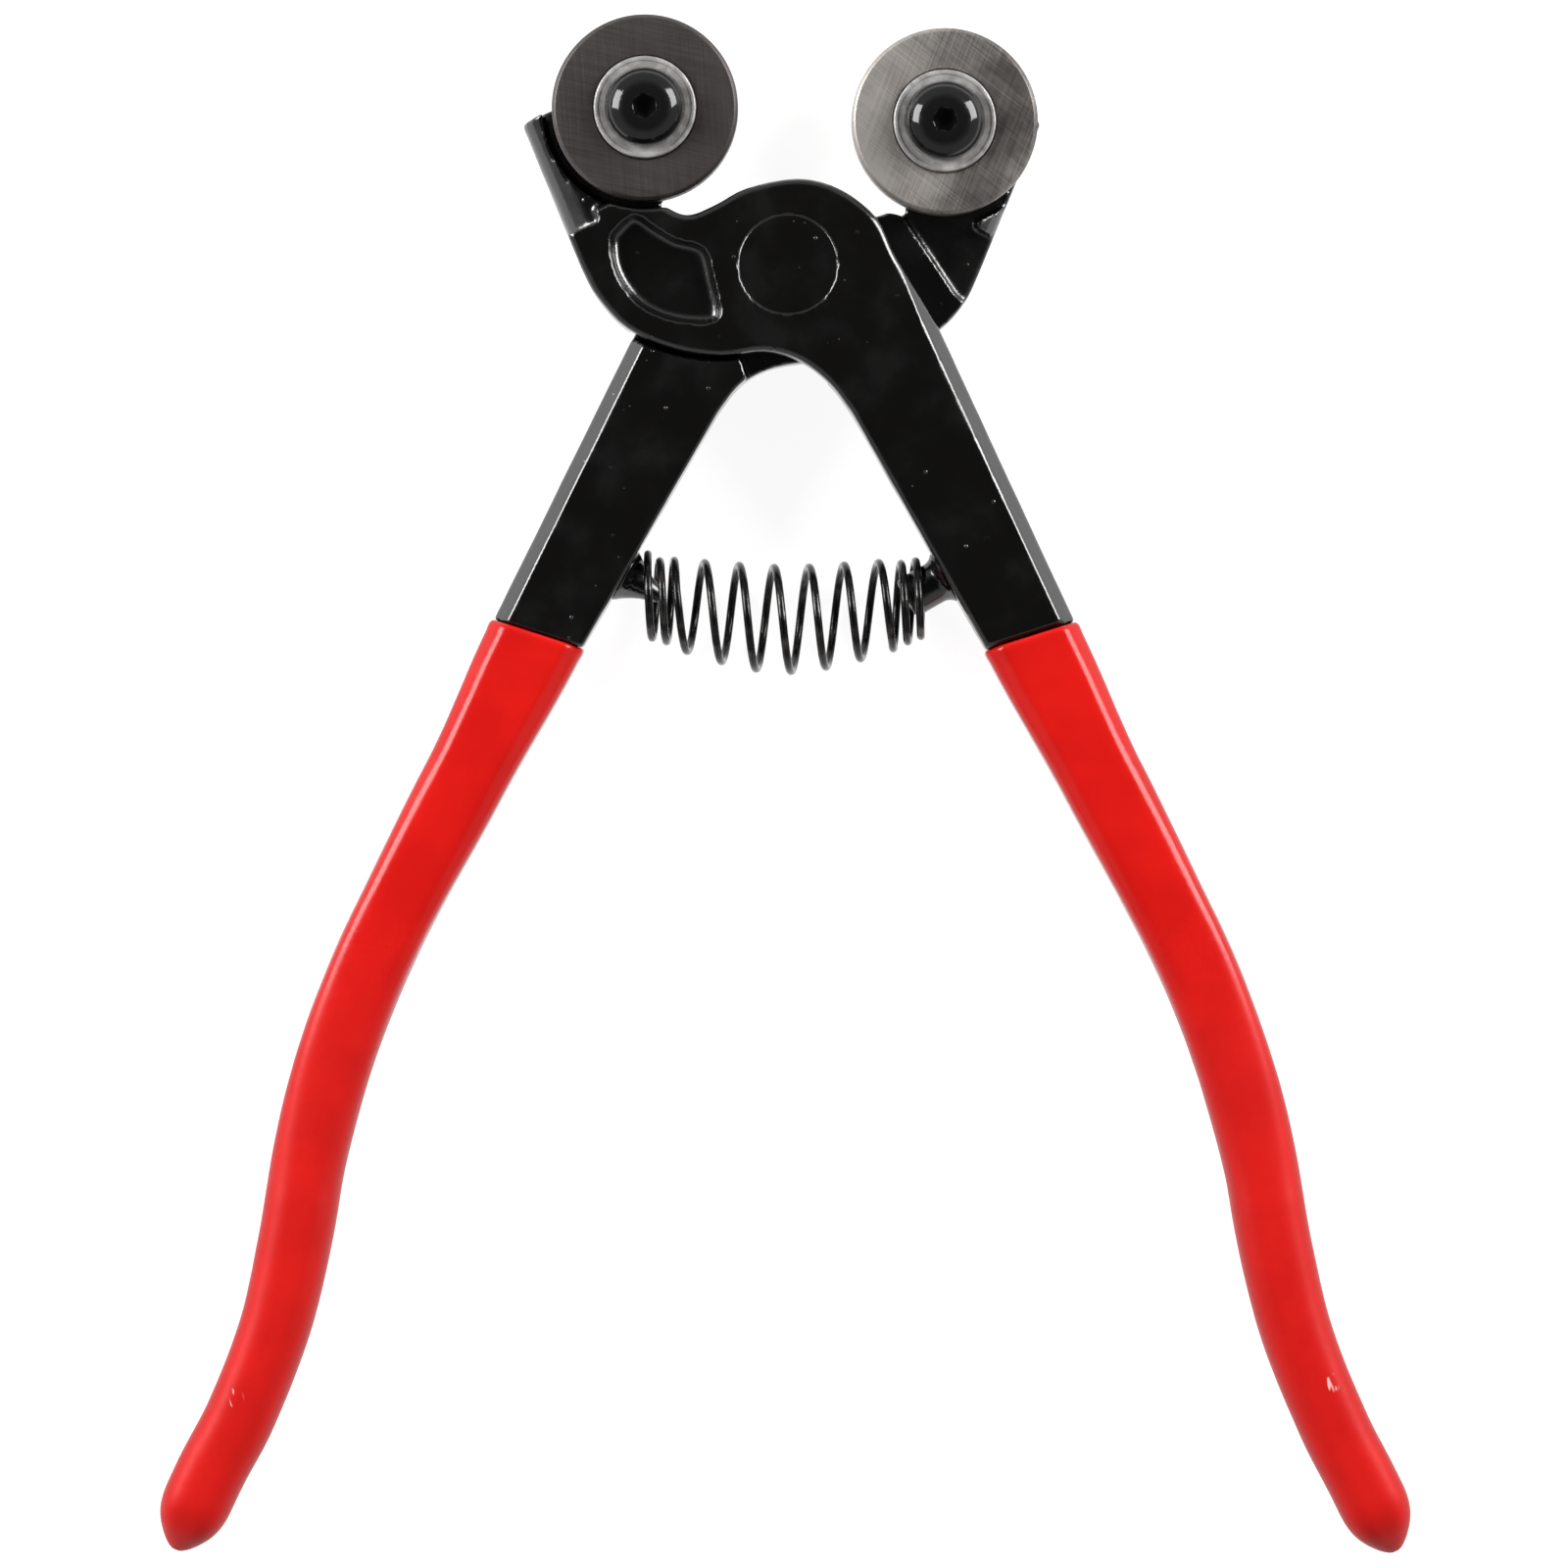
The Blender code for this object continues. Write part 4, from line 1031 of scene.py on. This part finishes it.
@dataclass
class Grip:
    """A dipped vinyl sleeve: squarish at its mouth over the shank, oval further down, round at the tip."""

    side: Side
    body: Body
    points: list[tuple[float, float]]
    seed: float
    length: float = 116.0 * MM
    widths: tuple[float, ...] = (11.5, 9.9, 9.2, 9.1, 8.7, 8.3, 8.3)
    thickness: float = 11.6 * MM
    tip_thickness: float = 9.8 * MM
    wall: float = 0.9 * MM
    tip_round: float = 6.2 * MM
    nub: float = 1.25 * MM
    nub_radius: float = 1.9 * MM
    skew: float = 9.0
    skew_run: float = 16.0 * MM
    chamfer: float = 1.9 * MM
    sides: int = 112
    spacing: float = 0.9 * MM

    def course(self) -> Course:
        """The middle line of the grip, from its mouth to its tip."""
        listed = [Vector(p) * MM for p in self.points]
        lengths = sum((b - a).length for a, b in zip(listed, listed[1:]))
        stretch = self.length / lengths
        return Course(course_through([listed[0] + (p - listed[0]) * stretch for p in listed], 12))

    def width_at(self, share: float) -> float:
        """Width of the grip.

        Args:
            share: Share of the way to the tip.

        Returns:
            The width, in metres.
        """
        place = min(max(share, 0.0), 1.0) * (len(self.widths) - 1)
        index = min(int(place), len(self.widths) - 2)
        part = place - index
        part = part * part * (3 - 2 * part)
        return (self.widths[index] * (1 - part) + self.widths[index + 1] * part) * MM

    def ring(self, course: Course, distance: float, inset: float) -> list[Vector]:
        """One ring round the grip.

        Args:
            course: The middle line.
            distance: Distance from the mouth.
            inset: How far the ring is set in from the outside.

        Returns:
            The ring.
        """
        share = min(max(distance / course.length, 0.0), 1.0)
        tip = (distance - (course.length - self.tip_round)) / (self.tip_round - inset)
        tip = min(max(tip, 0.0), 0.9995)
        rounding = (1.0 - tip ** 2.5) ** 0.5
        wide = (self.width_at(share) / 2 - inset) * rounding
        blend = min(share * 1.6, 1.0)
        thick = ((self.thickness + (self.tip_thickness - self.thickness) * share ** 2) / 2 - inset) * rounding
        cut = wide + thick - self.chamfer * (1 - 0.4 * blend) * rounding
        sharp = 30.0 * (1 - blend) ** 1.5 + 2.9
        weight = (1 - blend) ** 0.6
        spot, forward = course.read(distance)
        turn = -self.side.value * math.radians(self.skew) * max(0.0, 1.0 - max(distance, 0.0) / self.skew_run)
        across = Matrix.Rotation(turn, 2) @ Vector((-forward.y, forward.x))
        found = []
        for i in range(self.sides):
            angle = math.tau * (i + 0.5) / self.sides
            c, s = math.cos(angle), math.sin(angle)
            total = abs(c / wide) ** sharp + abs(s / thick) ** sharp
            total += weight * ((abs(c) + abs(s)) / cut) ** sharp
            reach = total ** (-1.0 / sharp)
            here = spot + across * (c * reach)
            found.append(Vector((here.x, here.y, MIDDLE + s * reach)))
        return found

    def stations(self, course: Course) -> list[tuple[float, float]]:
        """Distance and inset of every ring: out of the sleeve, over the lip and down to the tip.

        Args:
            course: The middle line.

        Returns:
            The stations, from the closed end of the inside to the tip outside.
        """
        straight = course.length - self.tip_round
        inside = [(straight * i / 9, self.wall) for i in range(9, 0, -1)]
        lip = [(0.5 * MM, self.wall), (-0.10 * MM, self.wall), (-0.22 * MM, self.wall * 0.78),
               (-0.25 * MM, self.wall * 0.5), (-0.20 * MM, self.wall * 0.22), (-0.04 * MM, self.wall * 0.04),
               (0.18 * MM, -0.05 * MM), (0.5 * MM, -0.07 * MM), (0.9 * MM, -0.04 * MM), (1.4 * MM, 0.0)]
        count = round(straight / self.spacing)
        outside = [(1.4 * MM + (straight - 1.4 * MM) * i / count, 0.0) for i in range(1, count)]
        tip = [(straight + self.tip_round * math.sin(math.radians(a)), 0.0) for a in range(0, 90, 5)]
        return inside + lip + outside + tip

    def roughen(self, bm: bmesh.types.BMesh, course: Course) -> None:
        """Lets the skin wander, and hangs the last drop of the dip from the tip.

        Args:
            bm: The sleeve.
            course: Its middle line.
        """
        bm.normal_update()
        end, forward = course.read(course.length)
        drop = Vector((end.x, end.y, MIDDLE)) - Vector((forward.x, forward.y, 0.0)) * 0.9 * MM
        aim = Vector((forward.x, forward.y, 0.0))
        moves = []
        for vert in bm.verts:
            push = (GRIP_SWELL_DEPTH * wavy(vert.co, GRIP_SWELL, self.seed)
                    + GRIP_RIPPLE_DEPTH * wavy(vert.co, GRIP_RIPPLE, self.seed + 5))
            away = (vert.co - drop).length / self.nub_radius
            moves.append(vert.normal * push + aim * self.nub * math.exp(-away ** 2))
        for vert, move in zip(bm.verts, moves):
            vert.co += move

    def build(self, finish: bpy.types.Material) -> bpy.types.Object:
        """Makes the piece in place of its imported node.

        Args:
            finish: The vinyl.

        Returns:
            The piece.
        """
        node = self.side.word + "_grip"
        course = self.course()
        bm = skin_rings([self.ring(course, s, inset) for s, inset in self.stations(course)])
        bmesh.ops.recalc_face_normals(bm, faces=bm.faces)
        self.roughen(bm, course)
        piece = link_mesh(node + "_sleeve", to_mesh(bm, node), finish, 70.0)
        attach(piece, self.body.value)
        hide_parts(node)
        return piece


# ---------------------------------------------------------------- studio
@dataclass
class Lamp:
    """A soft square lamp aimed at the tool."""

    name: str
    place: tuple[float, float, float]
    width: float
    height: float
    power: float
    aim: tuple[float, float, float] = (0.0, -0.04, 0.0)

    def build(self) -> bpy.types.Object:
        """Puts the lamp in the scene."""
        data = bpy.data.lights.new(self.name, "AREA")
        data.shape = "RECTANGLE"
        data.size, data.size_y = self.width, self.height
        data.energy = self.power
        lamp = bpy.data.objects.new(self.name, data)
        lamp.location = self.place
        lamp.rotation_euler = (Vector(self.aim) - Vector(self.place)).to_track_quat("-Z", "Y").to_euler()
        bpy.context.scene.collection.objects.link(lamp)
        return lamp


@dataclass
class Studio:
    """A pale floor, soft lamps on both sides and a long lens straight above."""

    view_centre: tuple[float, float] = (-0.46 * MM, -61.2 * MM)
    view_width: float = 185.2 * MM
    distance: float = 1.4
    plane_height: float = 9.0 * MM
    sensor: float = 36.0
    floor_half: float = 3.0
    horizon: float = 0.50
    zenith: float = 0.035
    glow: float = 0.91

    def floor(self) -> bpy.types.Object:
        """The pale sheet that the tool lies on."""
        bm = bmesh.new()
        steps = 12
        line = [self.floor_half * (2 * i / steps - 1) for i in range(steps + 1)]
        rows = [[bm.verts.new((x, y, -0.25 * MM)) for x in line] for y in line]
        for low, high in zip(rows, rows[1:]):
            for i in range(steps):
                bm.faces.new((low[i], low[i + 1], high[i + 1], high[i]))
        graph = Graph("pale_floor")
        graph.set(Base_Color=graph.mix(graph.noise(9.0, 2.0), (0.28, 0.28, 0.28), (0.31, 0.31, 0.31)),
                  Roughness=0.85, Specular_IOR_Level=0.1, Emission_Color=(1.0, 1.0, 1.0, 1.0),
                  Emission_Strength=self.glow)
        sheet = link_mesh("floor_sheet", to_mesh(bm, "floor_sheet"), graph.material)
        return sheet

    def camera(self) -> bpy.types.Object:
        """The camera, straight above and square to the tool."""
        data = bpy.data.cameras.new("front_camera")
        data.sensor_width = self.sensor
        data.lens = self.sensor * (self.distance - self.plane_height) / self.view_width
        data.clip_start, data.clip_end = 0.05, 20.0
        camera = bpy.data.objects.new("front_camera", data)
        camera.location = (*self.view_centre, self.distance)
        bpy.context.scene.collection.objects.link(camera)
        bpy.context.scene.camera = camera
        return camera

    def build(self) -> None:
        """Sets up the floor, the light and the camera."""
        self.floor()
        self.camera()
        for lamp in (Lamp("left_softbox", (-0.62, 0.20, 0.34), 0.42, 0.42, 7.5),
                     Lamp("right_softbox", (0.62, 0.26, 0.34), 0.42, 0.42, 7.5)):
            lamp.build()
        world = bpy.data.worlds.new("studio_air")
        world.use_nodes = True
        tree = world.node_tree
        air = tree.nodes["Background"]
        air.inputs["Color"].default_value = (1.0, 1.0, 1.0, 1.0)
        heading = tree.nodes.new("ShaderNodeTexCoord").outputs["Generated"]
        split = tree.nodes.new("ShaderNodeSeparateXYZ")
        tree.links.new(heading, split.inputs[0])
        fade = tree.nodes.new("ShaderNodeMapRange")
        fade.interpolation_type = "SMOOTHSTEP"
        for index, value in enumerate((0.55, 0.92, self.horizon, self.zenith), start=1):
            fade.inputs[index].default_value = value
        tree.links.new(split.outputs["Z"], fade.inputs[0])
        tree.links.new(fade.outputs[0], air.inputs["Strength"])
        bpy.context.scene.world = world
        bpy.context.scene.view_settings.view_transform = "Standard"


# ---------------------------------------------------------------- assembly
LEFT_GRIP_LINE = [(-29.6, -43.7), (-37.3, -58.9), (-44.6, -72.8), (-49.6, -83.2), (-53.5, -93.6),
                  (-56.25, -104.0),
                  (-58.1, -114.5), (-60.5, -124.9), (-64.5, -135.3), (-68.1, -142.2), (-71.9, -150.5)]
RIGHT_GRIP_LINE = [(28.75, -43.95), (36.3, -58.9), (43.5, -72.8), (48.5, -83.2), (52.4, -93.6),
                   (55.2, -104.0),
                   (57.1, -114.5), (59.7, -124.9), (63.9, -135.3), (67.4, -142.2), (70.8, -149.3)]
LEFT_STUD = Stud(Side.LEFT, Body.REAR, (-19.29 * MM, -36.54 * MM), (0.866, -0.499),
                 [(0, -4), (1.8, -4), (1.8, 0.05), (3.3, 0.05), (2.9, 0.6), (2.5, 1.1), (1.95, 2.0),
                  (1.5, 2.9), (1.12, 4.0),
                  (0.9, 4.9), (0.6, 5.2), (0, 5.2)])
RIGHT_STUD = Stud(Side.RIGHT, Body.FRONT, (18.49 * MM, -36.75 * MM), (-0.870, -0.494),
                  [(0, -4), (1.8, -4), (1.8, 0.05), (3.3, 0.05), (2.8, 0.5), (2.5, 1.1), (2.5, 4.6),
                   (2.2, 5.2), (0, 5.2)])
LEFT_CARBIDE = GroundCarbide("ground_carbide_left", (0.060, 0.052, 0.049), (0.100, 0.090, 0.086), 0.35, 12.0)
# both wheels are the same carbide; the right copy's much lighter bright colour, which its grinding marks also
# use, and its fade along X are painted sheen
RIGHT_CARBIDE_SHEENED = GroundCarbide("ground_carbide_right_sheened", (0.075, 0.067, 0.063), (0.400, 0.372, 0.345), 1.0, 38.0,
                              (9.0 * MM, 25.0 * MM))


def main() -> None:
    """Dresses every piece of the nippers and sets up the studio."""
    logging.basicConfig(level=logging.INFO, format="%(name)s: %(message)s")
    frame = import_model()
    nodes = frame["nodes"]
    paint, steel, oxide = StovedPaint().make(), GrainedSteel().make(), BlackOxide().make()
    # the rear lever's paint has more pimples and more pale flecks, partly dirt and partly painted glints
    pimpled = StovedPaint(name="black_paint_rear", pimples=0.26, dust_glint_specks=0.045).make()
    vinyl, wire = DippedVinyl().make(), OiledWire().make()
    pieces = [
        Lever(Body.FRONT, (28.75 * MM, -43.95 * MM), (0.451, -0.893), 1.7).build(nodes["front_lever"], paint),
        Lever(Body.REAR, (-29.6 * MM, -43.7 * MM), (-0.452, -0.892), 4.2).build(nodes["rear_lever"], pimpled),
        Rivet().build(paint),
    ]
    pieces += WheelSet(Side.LEFT, Body.FRONT, Body.LEFT_WHEEL, LEFT_CARBIDE, 8.0).build(steel, oxide)
    pieces += WheelSet(Side.RIGHT, Body.REAR, Body.RIGHT_WHEEL, RIGHT_CARBIDE_SHEENED, 23.0).build(steel, oxide)
    pieces += [LEFT_STUD.build(paint), RIGHT_STUD.build(paint),
               ReturnSpring(LEFT_STUD, RIGHT_STUD).build(wire)]
    pieces += [Grip(Side.LEFT, Body.REAR, LEFT_GRIP_LINE, 2.3).build(vinyl),
               Grip(Side.RIGHT, Body.FRONT, RIGHT_GRIP_LINE, 6.1).build(vinyl)]
    Studio().build()
    for piece in pieces:
        LOG.info("%s: %d faces", piece.name, len(piece.data.polygons))


if __name__ == "__main__":
    main()
